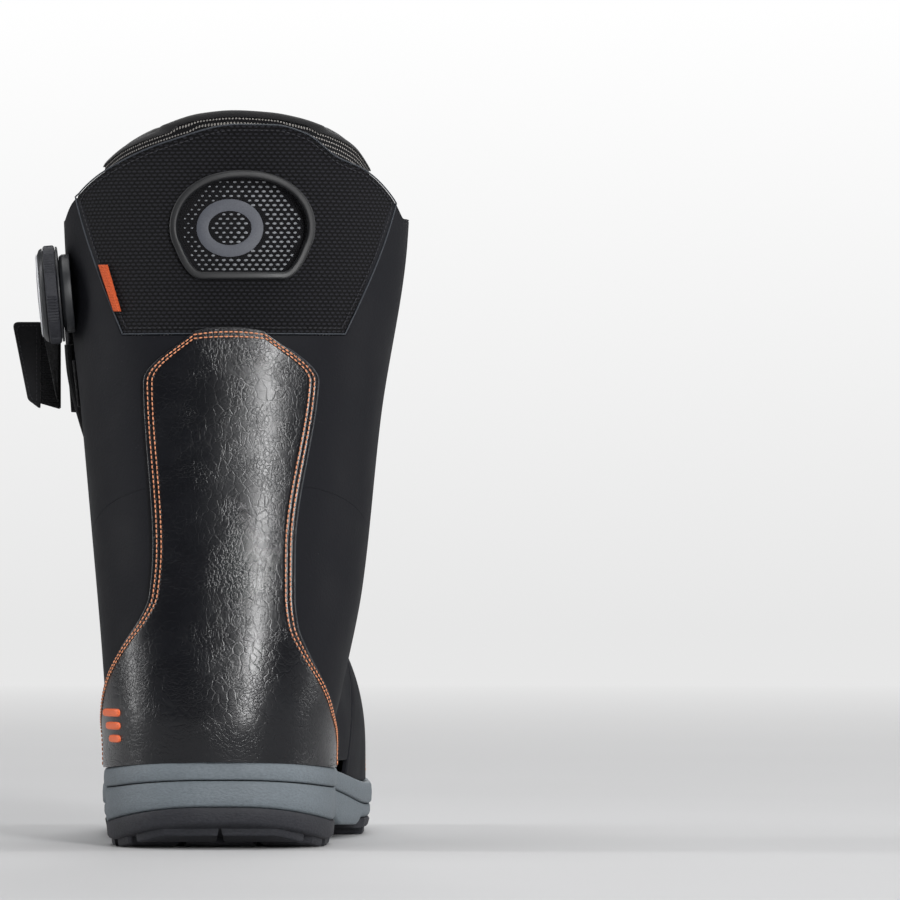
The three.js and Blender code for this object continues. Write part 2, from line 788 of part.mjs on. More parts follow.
function buildTongue() {
  const PAD_WALL = 4;
  add("tongue_shell", tongueSheet(THROAT + 1.6, TONGUE_TOP, 0, 0, -SHELL_WALL, 6, 18), "matte");
  const padTop = -SHELL_WALL - LAYER_GAP;
  add("tongue_pad", tongueSheet(36, TONGUE_TOP - 4, 1.5, padTop, padTop - PAD_WALL, 5, 16), "foam");
  const linerTop = padTop - PAD_WALL - 2 * LAYER_GAP;
  add("liner_tongue", tongueSheet(40, TONGUE_TOP + 3, 3, linerTop, linerTop - 5, 5, 16), "liner");
  for (const [name, side] of [
    ["lateral_gusset", -1],
    ["medial_gusset", 1],
  ]) {
    const [low, high] = [40, 90 + upShell(0.86) - FAN_Z];
    const gusset = sheet(
      (u, v) => {
        const station = stationAt(low, high, v);
        const half = throatHalf(over(0, station).point.z);
        return over(overAt(side * mix(half - 2.2, half + 5, u), station), station);
      },
      2,
      14,
      padTop - 0.3,
      padTop - 1.3,
    );
    add(name, gusset, "mesh");
  }

  // A strip under the tongue's root closes the bottom of the throat.
  const root = sheet(
    (u, v) => {
      const station = mix(THROAT - 3, 35, v);
      const half = throatHalf(over(0, station).point.z) + 5;
      return over(overAt(mix(-half, half, u), station), station);
    },
    5,
    3,
    padTop - 0.4,
    padTop - 1.4,
  );
  add("throat_lining", root, "mesh");

  // A webbing loop to pull the tongue by.
  const foot = (angle, z) => lift3(round(180 + angle, z), 1.6);
  const loop = through([
    foot(-6, upShell(0.86)),
    foot(-6, upShell(0.92)),
    foot(0, upShell(0.95)),
    foot(6, upShell(0.92)),
    foot(6, upShell(0.86)),
  ]);
  add("tongue_pull_loop", bar(loop, 16, 1.2, 6), "webbing");
}

// ---------------------------------------------------------------- strap
const STRAP_MEDIAL = 138; // degrees round the leg, where the sewn end stops
const STRAP_LATERAL = 243; // and where the free end's hinge line is
function strapPatch(from, to, low, high, outer, inner, across) {
  return sheet((u, v) => round(mix(from, to, u), mix(low, high, v)), across, 3, outer, inner);
}

function buildStrap() {
  const [low, high] = [STRAP_HEIGHT - STRAP_WIDTH / 2, STRAP_HEIGHT + STRAP_WIDTH / 2];
  const band = strapPatch(
    STRAP_MEDIAL,
    STRAP_LATERAL,
    low,
    high,
    STRAP_STANDOFF + STRAP_WALL,
    STRAP_STANDOFF,
    16,
  );
  add("strap_band", band, "webbing");
  const keeper = strapPatch(
    172,
    188,
    STRAP_HEIGHT - 11,
    STRAP_HEIGHT + 11,
    STRAP_STANDOFF - PART_GAP,
    0.4,
    2,
  );
  add("strap_keeper", keeper, "plastic");
  const top = STRAP_STANDOFF + STRAP_WALL;
  const cover = strapPatch(166, 194, low + 5, high - 5, top + 1.7, top + 0.5, 3);
  add("strap_front_patch", cover, "plastic");

  // The free end stands out to the side from the hinge line.
  const edge = round(STRAP_LATERAL, STRAP_HEIGHT);
  const hinge = lift3(edge, STRAP_STANDOFF + STRAP_WALL / 2);
  const HINGE_ROOM = 3.6; // lets the free end turn clear of the band, which leans with the cuff
  const flap = (points, near, far) => {
    const shape = new THREE.Shape(points.map(([s, z]) => new THREE.Vector2(hinge.x - HINGE_ROOM - s, z)));
    const geometry = new THREE.ExtrudeGeometry(shape, { depth: far - near, bevelEnabled: false });
    return geometry.rotateX(Math.PI / 2).translate(0, hinge.y + far, 0);
  };
  const lean = 0.2; // the outer edge leans in toward the bottom
  const foldAt = STRAP_TAIL - 9.7;
  const outline = (from, to, trim) => [
    [from, low + trim],
    [from, high - trim],
    [to, high - trim],
    [to - lean * (STRAP_WIDTH - 4 - 2 * trim), low + 4 + trim],
  ];
  const strapEnd = outline(foldAt - 2, STRAP_TAIL, 0);
  add("strap_tab", flap(outline(0, STRAP_TAIL, 0), -STRAP_WALL / 2, STRAP_WALL / 2), "webbing");
  const behind = -STRAP_WALL / 2 - PART_GAP;
  add("strap_hook_patch", flap(outline(1, foldAt - 2.5, 2), behind - 1.2, behind), "mesh");
  add("strap_end_tab", flap(strapEnd, behind - 1.3, behind), "plastic");

  const loopPatch = strapPatch(-118, -86, low + 1, low + 20, 1, 0.4, 6);
  add("strap_loop_patch", loopPatch, "mesh");
}

// ---------------------------------------------------------------- dial
const dialHit = () => {
  const origin = new THREE.Vector3(0, DIAL_Y, DIAL_HEIGHT);
  return cast(origin, new THREE.Vector3(-1, 0, 0)).point;
};
const DIAL_AXIS = new THREE.Vector3(-Math.cos(rad(DIAL_TILT)), 0, -Math.sin(rad(DIAL_TILT)));
const DIAL_OUT = 2; // the base's floor above the shell
const dialOrigin = dialHit().addScaledVector(DIAL_AXIS, DIAL_OUT);
const dialTurn = new THREE.Quaternion().setFromUnitVectors(new THREE.Vector3(0, 1, 0), DIAL_AXIS);
const dialFrame = new THREE.Matrix4().compose(dialOrigin, dialTurn, new THREE.Vector3(1, 1, 1));
// A point h above the base's floor, forward of the axis and above it.
const onDial = (forwardBy, upBy, h) => {
  const up = new THREE.Vector3(-Math.sin(rad(DIAL_TILT)), 0, Math.cos(rad(DIAL_TILT)));
  return dialOrigin
    .clone()
    .addScaledVector(DIAL_AXIS, h)
    .addScaledVector(up, upBy)
    .add(new THREE.Vector3(0, forwardBy, 0));
};
const SPOOL_CORE = 6.5;
const LACE_OFFSET = SPOOL_CORE + LACE_RADIUS + 0.8;
const LACE_LEVEL = 0.7; // above the base's floor

const dialRing = (points, sides) => turned(points, sides).applyMatrix4(dialFrame);

// A ring with teeth: reach(i) is the radius of the i-th outline point.
function toothed(count, reach, hole, low, high) {
  const ringOf = (n, r) =>
    Array.from({ length: n }, (_, i) => {
      const a = (2 * Math.PI * i) / n;
      return new THREE.Vector2(r(i) * Math.cos(a), r(i) * Math.sin(a));
    });
  const shape = new THREE.Shape(ringOf(count, reach));
  shape.holes.push(new THREE.Path(ringOf(20, () => hole)));
  return new THREE.ExtrudeGeometry(shape, { depth: high - low, bevelEnabled: false })
    .translate(0, 0, -high)
    .rotateX(Math.PI / 2)
    .applyMatrix4(dialFrame);
}

function buildDial(laceBore) {
  const r = DIAL_RADIUS;
  const base = solidOf(
    dialRing(
      [
        [0, -9],
        [r - 4, -9],
        [r - 4, 0.6],
        [r - 4.8, 1.9],
        [r - 6.4, 1.9],
        [r - 6.4, 6.6],
        [r - 8.4, 6.6],
        [r - 8.4, 0],
        [0, 0],
      ],
      28,
    ),
  );
  const under = sheet(
    (u, v) => round(mix(-125, -55, u), mix(DIAL_HEIGHT - 30, DIAL_HEIGHT + 30, v)),
    14,
    6,
    0.4,
    -15,
  );
  add("dial_base", base.subtract(under).subtract(laceBore), "plastic");

  const spool = solidOf(
    dialRing(
      [
        [2.5, 0.3],
        [SPOOL_CORE, 0.3],
        [SPOOL_CORE, 1.9],
        [r - 9, 1.9],
        [r - 9, 3.1],
        [SPOOL_CORE, 3.1],
        [SPOOL_CORE, 5.4],
        [2.5, 5.4],
        [2.5, 0.3],
      ],
      20,
    ),
  );
  const teeth = solidOf(toothed(24, (i) => (i % 2 === 0 ? r - 9.4 : r - 11), 2.5, 5, 6.3));
  add("dial_spool", spool.add(teeth), "plastic");

  add(
    "dial_pawl_ring",
    toothed(36, (i) => (i % 6 < 2 ? r - 8.8 : r - 7), 5, 6.9, 7.5),
    "steel",
  );
  const knob = dialRing(
    [
      [r - 5.8, 2.2],
      [r - 0.6, 2.2],
      [r - 0.6, 3],
      [r - 1.9, 3],
      [r - 1.9, 8.4],
      [r - 0.6, 8.4],
      [r - 1.6, 9.8],
      [r - 4, 10.8],
      [r - 6.6, 11.2],
      [r - 7, 10.4],
      [4.9, 10.4],
      [4.9, 9.1],
      [2.4, 9.1],
      [2.4, 7.8],
      [r - 5.8, 7.8],
      [r - 5.8, 2.2],
    ],
    28,
  );
  add("dial_knob", knob, "plastic");
  // Six knurled stretches alternate with smooth ones.
  const grip = toothed(
    96,
    (i) => (i % 16 < 9 && i % 2 === 0 ? r + 0.2 : r - 0.5),
    r - 1.6,
    3.3,
    8.1,
  );
  add("dial_grip", grip, "outsole");
  const cap = dialRing(
    [
      [0, 10.7],
      [r - 7.4, 10.7],
      [r - 7.4, 11.2],
      [r - 11, 11.5],
      [0, 11.7],
    ],
    30,
  );
  add("dial_cap", cap, "steel");
  const screw = dialRing(
    [
      [0, 0.8],
      [2, 0.8],
      [2, 9.4],
      [4.4, 9.4],
      [4, 10.2],
      [0, 10.2],
    ],
    16,
  );
  add("dial_screw", screw, "steel");
}

// ---------------------------------------------------------------- lace
// The guides in the order the lace passes them: [height, side].
const GUIDES = [
  [STRAP_HEIGHT + 42, -1],
  [STRAP_HEIGHT + 42, 1],
  [STRAP_HEIGHT - 34, 1],
  [STRAP_HEIGHT - 34, -1],
  [STRAP_HEIGHT - 56, -1],
  [STRAP_HEIGHT - 56, 1],
  [STRAP_HEIGHT - 74, 1],
  [STRAP_HEIGHT - 74, -1],
];
const LACE_LIFT = OVERLAY_GAP + OVERLAY_WALL + LACE_RADIUS + 1.5;
const SLEEVE_LIFT = 3.2; // lower, over the bare quarter
const lift3 = (hit, offset) => hit.point.clone().addScaledVector(hit.normal, offset);
// A lace point beside the throat: so many degrees back from its edge.
const beside = ([z, side], back, dz) =>
  lift3(round(side * (quarterFront(z + dz, side) - back), z + dz), LACE_LIFT);
// Station of the plane over the front through a point.
const stationOf = (p) => (p.z > FAN_Z ? 90 + p.z - FAN_Z : fanAngle(p));

const INSIDE = 1.5; // degrees from the throat's edge where a guide ends
const OUTSIDE = 6; // and where it turns
const TURN_RISE = 6;
function acrossTongue(from, to) {
  return [0.22, 0.5, 0.78].map((share) => {
    const p = from.clone().lerp(to, share);
    const station = stationOf(p);
    const middle = over(0, station).point.x;
    return lift3(over(overAt(p.x - middle || 0.01, station), station), LACE_RADIUS + 2.4);
  });
}

function downSide([z0, side], [z1]) {
  const steps = Math.max(1, Math.round((z0 - z1 - 2 * TURN_RISE) / 14));
  return Array.from({ length: steps + 1 }, (_, i) =>
    beside([mix(z0 - TURN_RISE, z1 + TURN_RISE, i / steps), side], OUTSIDE, 0),
  );
}

// From the dial forward to a guide, over the quarter.
function fromDial(exit, [z, side], upBy) {
  const start = [-102, mix(DIAL_HEIGHT + upBy, z, 0.25)];
  const end = [side * (quarterFront(z, side) - 15), z];
  const way = [0, 0.25, 0.5, 0.75, 1].map((s) =>
    lift3(round(mix(start[0], end[0], s), mix(start[1], end[1], s)), mix(SLEEVE_LIFT, LACE_LIFT, s ** 4)),
  );
  return [onDial(0, upBy, LACE_LEVEL), onDial(12, upBy, LACE_LEVEL), exit, ...way];
}

function laceWay() {
  const upper = onDial(DIAL_RADIUS + 3, LACE_OFFSET, LACE_LEVEL);
  const lower = onDial(DIAL_RADIUS + 3, -LACE_OFFSET, LACE_LEVEL);
  const way = fromDial(upper, GUIDES[0], LACE_OFFSET);
  GUIDES.forEach((guide, i) => {
    const turn = beside(guide, OUTSIDE, 0);
    const inner = beside(guide, INSIDE, 0);
    if (i % 2 === 0) {
      way.push(turn, inner, ...acrossTongue(inner, beside(GUIDES[i + 1], INSIDE, 0)));
      return;
    }
    way.push(inner, turn);
    if (i + 1 < GUIDES.length) way.push(...downSide(guide, GUIDES[i + 1]));
  });
  way.push(...fromDial(lower, GUIDES[GUIDES.length - 1], -LACE_OFFSET).reverse());
  return through(way);
}

function buildLace() {
  const curve = laceWay();
  curve.arcLengthDivisions = 2000;
  add("lace", bar(curve, LACE_STEPS, LACE_RADIUS, 8), "steel");
  const bore = bar(curve, LACE_STEPS, LACE_RADIUS + 0.45, 6);
  const way = curve.getSpacedPoints(LACE_STEPS);
  const barAlong = (points, radius) => bar(through(points), points.length - 1, radius, 6);
  const names = ["one", "two", "three", "four"];
  GUIDES.forEach((guide, i) => {
    const [z, side] = guide;
    const turn = beside(guide, OUTSIDE, 0);
    const near = way.filter((p) => p.distanceTo(turn) < 6.2);
    const body = sheet(
      (u, v) => {
        const height = z + mix(-5, 5, v);
        return round(side * (quarterFront(height, side) - mix(1, 11, u)), height);
      },
      2,
      2,
      LACE_LIFT + 0.4,
      OVERLAY_GAP + OVERLAY_WALL + 4.5 * PART_GAP,
    );
    const row = names[[0, 0, 1, 1, 2, 2, 3, 3][i]];
    const name = (side < 0 ? "lateral" : "medial") + "_guide_" + row;
    add(name, body.add(barAlong(near, LACE_RADIUS + 0.8)).subtract(bore), "plastic");
  });

  // Sleeves over the two runs between the dial and the guides.
  const clearOfDial = (p) => p.distanceTo(dialOrigin) > DIAL_RADIUS + 13;
  const clearOf = (guide, p) => p.distanceTo(beside(guide, OUTSIDE, 0)) > 13;
  const first = way.findIndex((p) => !clearOf(GUIDES[0], p));
  const upper = way.slice(0, first).filter(clearOfDial);
  const last = way.findLastIndex((p) => !clearOf(GUIDES[GUIDES.length - 1], p));
  const lower = way.slice(last + 1).filter(clearOfDial);
  add("upper_lace_sleeve", barAlong(upper, 1.8).subtract(bore), "webbing");
  add("lower_lace_sleeve", barAlong(lower, 1.8).subtract(bore), "webbing");
  return bore;
}

// ---------------------------------------------------------------- liner
const LINER_INSET = SHELL_WALL + LAYER_GAP + COUNTER_WALL + LINER_CLEARANCE;
const COLLAR_LEAN = 11; // the collar stands this much further in at the top
const linerInset = (z) => LINER_INSET + COLLAR_LEAN * smooth(z, upShell(0.74), upShell(0.98));

// The boot's whole form set in by an inset that may vary with height, open-ended below the sole.
function bootForm(inset) {
  const tip = -(TOE_Y - FAN_Y) + 18;
  const stations = [
    ...places(tip, 0, 3, true, false),
    ...places(9, 90, 9, false, false),
    ...places(106, 90 + SHELL_HEIGHT + 20 - FAN_Z, 3, false, false),
  ];
  const SIDES = 20;
  const reach = (angle, station) => {
    const hit = over(angle, station);
    return lift3(hit, -inset(hit.point.z));
  };
  return loft(
    stations.map((station) =>
      Array.from({ length: SIDES }, (_, i) => reach(-180 + (360 * (i + 0.5)) / SIDES, station)),
    ),
  );
}

// The collar's edge seen from behind, [x, height].
const collarEdge = profile([
  [-52, upShell(0.92)],
  [-46, upShell(0.94)],
  [-34, upShell(0.981)],
  [-21, upShell(1.003)],
  [-7, upShell(1.0185)],
  [5.5, upShell(1.0227)],
  [19, upShell(1.02)],
  [30, upShell(1.013)],
  [42, upShell(0.998)],
  [50, upShell(0.979)],
  [57, upShell(0.94)],
  [62, upShell(0.92)],
]);
const COLLAR_BAND = 8;
function aboveCollar(drop) {
  const xs = Array.from({ length: 19 }, (_, i) => mix(-62, 71, i / 18));
  const shape = new THREE.Shape([
    ...xs.map((x) => new THREE.Vector2(x, collarEdge(x) - drop)),
    new THREE.Vector2(90, collarEdge(71) - drop),
    new THREE.Vector2(90, 400),
    new THREE.Vector2(-80, 400),
    new THREE.Vector2(-80, collarEdge(-62) - drop),
  ]);
  const geometry = new THREE.ExtrudeGeometry(shape, { depth: 400, bevelEnabled: false });
  return solidOf(geometry.rotateX(Math.PI / 2).translate(0, 300, 0));
}

const overBoard = (low, high) =>
  solePlate(wholeSole(RIM_WALL + PART_GAP), -30, (y) => boardTop(y) + low, (y) => boardTop(y) + high);

function buildLiner() {
  const FLOOR = 4;
  const outer = bootForm(linerInset).intersect(overBoard(0.4, 400));
  const inner = bootForm((z) => linerInset(z) + LINER_WALL).intersect(overBoard(0.4 + FLOOR, 400));
  const throat = tongueSheet(31, TONGUE_TOP + 30, -TONGUE_GAP - 1.5, 3, -45, 3, 10, false);
  const whole = outer.subtract(inner).subtract(throat);
  add("liner_shell", whole.subtract(aboveCollar(COLLAR_BAND + PART_GAP)), "liner");

  const rollOuter = bootForm((z) => linerInset(z) - 0.8);
  const rollInner = bootForm((z) => linerInset(z) + LINER_WALL + 0.8);
  const roll = rollOuter.subtract(rollInner).subtract(throat);
  const band = aboveCollar(COLLAR_BAND).subtract(aboveCollar(0));
  add("liner_collar", roll.intersect(band), "liner");

  const BED = 4;
  const bed = bootForm((z) => linerInset(z) + LINER_WALL + 0.8);
  add("footbed", bed.intersect(overBoard(0.9 + FLOOR, 0.9 + FLOOR + BED)), "foam");
}

buildSole();
buildShell();
buildTongue();
buildStrap();
buildDial(buildLace());
buildLiner();

export default boot;
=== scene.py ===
"""Looks of a left snowboard boot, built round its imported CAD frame.

The surface functions work in millimetres in the frame's axes: +Y to the toe, +X to the inner side, +Z up.
"""

import math

import bpy
import numpy as np
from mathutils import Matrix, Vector


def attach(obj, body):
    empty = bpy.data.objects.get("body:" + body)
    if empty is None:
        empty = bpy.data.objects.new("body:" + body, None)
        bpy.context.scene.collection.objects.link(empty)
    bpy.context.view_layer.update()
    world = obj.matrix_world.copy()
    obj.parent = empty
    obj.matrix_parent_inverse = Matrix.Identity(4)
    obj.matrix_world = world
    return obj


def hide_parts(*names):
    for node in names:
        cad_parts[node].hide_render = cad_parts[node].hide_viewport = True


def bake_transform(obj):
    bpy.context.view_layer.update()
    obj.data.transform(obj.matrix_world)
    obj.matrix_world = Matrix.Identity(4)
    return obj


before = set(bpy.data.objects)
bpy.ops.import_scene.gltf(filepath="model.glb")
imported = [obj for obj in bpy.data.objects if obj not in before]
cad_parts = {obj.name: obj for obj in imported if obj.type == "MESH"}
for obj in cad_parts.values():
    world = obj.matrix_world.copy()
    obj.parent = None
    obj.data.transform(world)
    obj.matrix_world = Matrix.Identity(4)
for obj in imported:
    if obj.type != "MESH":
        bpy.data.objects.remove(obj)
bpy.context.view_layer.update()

MM = 0.001

# ---------------------------------------------------------------- the part's own dimensions, millimetres
HEEL_BACK = -48.0
FOOT_LENGTH = 301.0
SHELL_HEIGHT = 291.0
LEG_MEDIAL = 79.0
LEG_LATERAL = 65.0
HEEL_HALF_WIDTH = 44.5
BALL_MEDIAL = 61.0
BALL_LATERAL = 46.5
SECTION_POWER = 2.35
TOE_POWER = 2.4
INSTEP_BLEND = 44.0

SHELL_WALL = 2.2
OVERLAY_GAP = 1.4
OVERLAY_WALL = 1.5
LINER_WALL = 7.5
SOLE_LIP = 2.8
TREAD_DEPTH = 3.0
LUG_PITCH = 17.0
LUG_LENGTH = 11.0
PART_GAP = 0.3

DIAL_RADIUS = 20.0
DIAL_HEIGHT = 224.0
DIAL_Y = 20.0
DIAL_TILT = 5.0
LACE_RADIUS = 0.75
STRAP_WIDTH = 36.0
STRAP_WALL = 2.2
STRAP_STANDOFF = 7.0
STRAP_HEIGHT = 195.0
STRAP_TAIL = 20.0
THROAT_HALF = 27.0
THROAT_HALF_LOW = 21.0
TONGUE_GAP = 2.0


# ---------------------------------------------------------------- small helpers
def mix(a, b, t):
    return a + (b - a) * t


def smooth(x, low, high):
    t = np.clip((x - low) / (high - low), 0, 1)
    return t * t * (3 - 2 * t)


def profile(stations):
    """A smooth curve through (x, value) stations, level beyond its ends, which never overshoots them."""
    xs, values = np.array(stations, float).T
    slope = np.diff(values) / np.diff(xs)
    tangent = np.zeros(len(xs))
    product, total = slope[:-1] * slope[1:], slope[:-1] + slope[1:]
    tangent[1:-1] = np.where(product > 0, 2 * product / np.where(total == 0, 1, total), 0)
    tangent[0], tangent[-1] = slope[0], slope[-1]

    def value(x):
        x = np.clip(x, xs[0], xs[-1])
        i = np.clip(np.searchsorted(xs, x, side="right") - 1, 0, len(xs) - 2)
        h = xs[i + 1] - xs[i]
        t = (x - xs[i]) / h
        return (
            values[i] * (1 + 2 * t) * (1 - t) ** 2
            + tangent[i] * h * t * (1 - t) ** 2
            + values[i + 1] * t * t * (3 - 2 * t)
            + tangent[i + 1] * h * t * t * (t - 1)
        )

    return value


def noise(x, y, seed):
    """Smooth value noise from 0 to 1, one cell to a unit."""
    table = np.random.default_rng(seed).random((97, 89))
    i, j = np.floor(x).astype(int), np.floor(y).astype(int)
    s, t = x - i, y - j
    s, t = s * s * (3 - 2 * s), t * t * (3 - 2 * t)
    at = lambda a, b: table[(i + a) % 97, (j + b) % 89]
    return mix(mix(at(0, 0), at(1, 0), s), mix(at(0, 1), at(1, 1), s), t)


def edge_of(test, low, high):
    """The values between low and high where test turns from true to false."""
    for _ in range(22):
        middle = (low + high) / 2
        yes = test(middle)
        low, high = np.where(yes, middle, low), np.where(yes, high, middle)
    return (low + high) / 2


# ---------------------------------------------------------------- the boot's outer surface
TOE_Y = HEEL_BACK + FOOT_LENGTH


def along_foot(share):
    return HEEL_BACK + share * FOOT_LENGTH


def up_shell(share):
    return share * SHELL_HEIGHT


LEG_LATERAL_AT = profile(
    [
        (up_shell(0.11), HEEL_HALF_WIDTH),
        (up_shell(0.18), 46),
        (up_shell(0.29), 48.4),
        (up_shell(0.43), 52),
        (up_shell(0.6), 56.5),
        (up_shell(0.84), LEG_LATERAL - 1.6),
        (up_shell(1), LEG_LATERAL),
    ]
)
LEG_MEDIAL_AT = profile(
    [
        (up_shell(0.11), HEEL_HALF_WIDTH),
        (up_shell(0.18), 47.5),
        (up_shell(0.36), 58),
        (up_shell(0.6), 65.8),
        (up_shell(0.84), LEG_MEDIAL - 2.4),
        (up_shell(1), LEG_MEDIAL),
    ]
)
LEG_BACK_AT = profile(
    [
        (up_shell(0.11), HEEL_BACK + 2.5),
        (up_shell(0.18), HEEL_BACK),
        (up_shell(0.36), HEEL_BACK + 5),
        (up_shell(0.6), HEEL_BACK + 13.5),
        (up_shell(1), HEEL_BACK + 24),
    ]
)
LEG_FRONT_AT = profile(
    [(up_shell(0.11), 72), (up_shell(0.36), 86), (up_shell(0.6), 98), (up_shell(1), 119)]
)
FOOT_START = along_foot(0.22)
TOE_START = along_foot(0.75)
FOOT_BASE = 34.0
FOOT_LATERAL_AT = profile(
    [
        (along_foot(0.2), HEEL_HALF_WIDTH),
        (along_foot(0.4), 44.5),
        (along_foot(0.64), BALL_LATERAL),
        (TOE_START, BALL_LATERAL - 1),
    ]
)
FOOT_MEDIAL_AT = profile(
    [
        (along_foot(0.2), HEEL_HALF_WIDTH),
        (along_foot(0.4), 50),
        (along_foot(0.64), BALL_MEDIAL),
        (TOE_START, BALL_MEDIAL - 0.5),
    ]
)
FOOT_TOP_AT = profile([(FOOT_START, 128), (along_foot(0.49), 114), (along_foot(0.64), 99), (TOE_START, 88)])


def leg_at(z):
    """Centre, half width, middle y and half depth of the leg at height z."""
    lateral, medial = LEG_LATERAL_AT(z), LEG_MEDIAL_AT(z)
    back, front = LEG_BACK_AT(z), LEG_FRONT_AT(z)
    return (medial - lateral) / 2, (medial + lateral) / 2, (back + front) / 2, (front - back) / 2


def foot_at(y):
    """Centre, half width and height over the base of the foot at y."""
    past = np.clip((y - TOE_START) / (TOE_Y - TOE_START), 0, 0.9999999)
    taper = (1 - past**TOE_POWER) ** (1 / TOE_POWER)
    lateral, medial = FOOT_LATERAL_AT(y), FOOT_MEDIAL_AT(y)
    centre, half = (medial - lateral) / 2 + 2 * past, (medial + lateral) / 2 * taper
    return centre, half, (FOOT_TOP_AT(y) - FOOT_BASE) * taper


def section_at(y, z):
    """Centre, half width, and the share from the core, 0, to the side view's outline, 1."""
    leg_centre, leg_half, leg_y, leg_depth = leg_at(z)
    foot_centre, foot_half, foot_height = foot_at(y)
    leg_side = np.abs(y - leg_y) - leg_depth
    foot_side = np.maximum(z - FOOT_BASE - foot_height, FOOT_START - y)
    share = np.clip(0.5 + 0.5 * (leg_side - foot_side) / INSTEP_BLEND, 0, 1)
    side = mix(leg_side, foot_side, share) - INSTEP_BLEND * share * (1 - share)
    core = mix(leg_depth, foot_height, share)
    ahead = smooth(y, 20, 100)
    up = smooth(z, mix(32, 80, ahead), mix(60, 130, ahead))
    return mix(foot_centre, leg_centre, up), mix(foot_half, leg_half, up), np.maximum(0, 1 + side / core)


def level(p):
    """Below 0 inside the boot's form and above 0 outside it."""
    centre, half, side = section_at(p[..., 1], p[..., 2])
    across = np.abs(p[..., 0] - centre) / half
    return (across**SECTION_POWER + side**SECTION_POWER) ** (1 / SECTION_POWER) - 1


def unit(v):
    return v / np.maximum(np.linalg.norm(v, axis=-1, keepdims=True), 1e-12)


def cast(origin, direction):
    """Surface points that rays from inside meet, and the outward normals there."""
    origin, direction = np.broadcast_arrays(origin, direction)
    near = np.zeros(origin.shape[:-1])
    far = near + 8
    for _ in range(50):
        outside = level(origin + direction * far[..., None]) >= 0
        if outside.all():
            break
        near, far = np.where(outside, near, far), np.where(outside, far, far + 8)
    for _ in range(22):
        middle = (near + far) / 2
        inside = level(origin + direction * middle[..., None]) < 0
        near, far = np.where(inside, middle, near), np.where(inside, far, middle)
    point = origin + direction * near[..., None]
    steps = 0.4 * np.eye(3)
    slope = np.stack([level(point + s) - level(point - s) for s in steps], -1)
    return point, unit(slope)


def vector(*parts):
    return np.stack(np.broadcast_arrays(*parts), -1).astype(float)


def round_leg(angle, z):
    """Level rays round the leg: angle 0 is the back, positive the inner side, 180 the front."""
    angle, z = np.broadcast_arrays(np.asarray(angle, float), np.asarray(z, float))
    centre, _, y, _ = leg_at(z)
    turn = np.radians(angle)
    return cast(vector(centre, y, z), vector(np.sin(turn), -np.cos(turn), 0 * z))


def from_back(x, z):
    """The surface behind points seen from the back."""
    x, z = np.broadcast_arrays(np.asarray(x, float), np.asarray(z, float))
    _, _, y, _ = leg_at(z)
    return cast(vector(x, y, z), vector(0 * x, 0 * x - 1, 0 * x))


FAN_Y = along_foot(0.874)
FAN_Z = 235.0
FAN_RADIUS = 185.0


def over(angle, station):
    """Rays over the front in planes that fan from the toe, station 0, to level, 90, and go on both ways."""
    angle, station = np.broadcast_arrays(np.asarray(angle, float), np.asarray(station, float))
    turn = np.radians(np.clip(station, 0, 90))
    down = vector(0 * turn, -np.sin(turn), -np.cos(turn))
    origin = np.array([0, FAN_Y, FAN_Z]) + down * FAN_RADIUS
    past = np.maximum(0, -station)
    origin[..., 1] += past
    origin[..., 2] -= (FAN_Z - FAN_RADIUS - FOOT_BASE) * np.minimum(1, past / (TOE_Y - FAN_Y))
    origin[..., 2] += np.maximum(0, station - 90)
    origin[..., 0] = section_at(origin[..., 1], origin[..., 2])[0]
    side = np.radians(angle)
    direction = -down * np.cos(side)[..., None]
    direction[..., 0] = np.sin(side)
    return cast(origin, direction)


def fan_angle(p):
    return np.degrees(np.arctan2(FAN_Y - p[..., 1], FAN_Z - p[..., 2]))


FAN_SPACING = 2.9


def station_at(low, high, share):
    """Stations from low to high that are about evenly spaced over the surface."""
    fan = (90 - low) * FAN_SPACING
    along = share * (fan + high - 90)
    return np.where(along < fan, low + along / FAN_SPACING, 90 + along - fan)


# ---------------------------------------------------------------- sole heights
HEEL_WIDEST = along_foot(0.2)
SOLE_BACK = HEEL_BACK + 2.5 - SOLE_LIP
SOLE_FRONT = TOE_Y + SOLE_LIP
BEVEL_START = -8.0


def lift(y):
    return np.clip((HEEL_WIDEST - y) / (HEEL_WIDEST - SOLE_BACK), 0, 1) ** 2


def bevel(y):
    return np.clip((BEVEL_START - y) / (BEVEL_START - SOLE_BACK), 0, 1) ** 1.6


def forward(y):
    return smooth(y, along_foot(0.25), along_foot(0.6))


def toe_lift(y):
    return np.clip((y - along_foot(0.8)) / (SOLE_FRONT - along_foot(0.8)), 0, 1) ** 2


def arch(y):
    rise = smooth(y, along_foot(0.37), along_foot(0.41))
    return rise * (1 - smooth(y, along_foot(0.5), along_foot(0.54)))


def rim_top(y):
    return mix(31.5, 22, forward(y)) + 4.2 * lift(y) + 8 * toe_lift(y)


def groove(y):
    return mix(23.8, 13, forward(y)) + 4.4 * lift(y) + 7 * toe_lift(y)


def outsole_top(y):
    return mix(10.3, 7.5, forward(y)) + 7.6 * lift(y) + 7 * toe_lift(y)


def sole_bottom(y):
    return 7.8 * bevel(y) + 6 * toe_lift(y)


def sole_edges(y, inset=0.0):
    """The sole's two edges at y, set in by inset."""
    back, front = SOLE_BACK + inset, SOLE_FRONT - inset
    share = np.clip((y - back) / (front - back), 0.0005, 0.9995)
    on_upper = HEEL_BACK + 2.5 + share * (TOE_Y - HEEL_BACK - 2.5)
    centre, half, side = section_at(on_upper, FOOT_BASE)
    half = half * (1 - np.minimum(side, 0.9999) ** SECTION_POWER) ** (1 / SECTION_POWER)
    wide = np.maximum(half + SOLE_LIP - inset, 1)
    return centre - wide, centre + wide


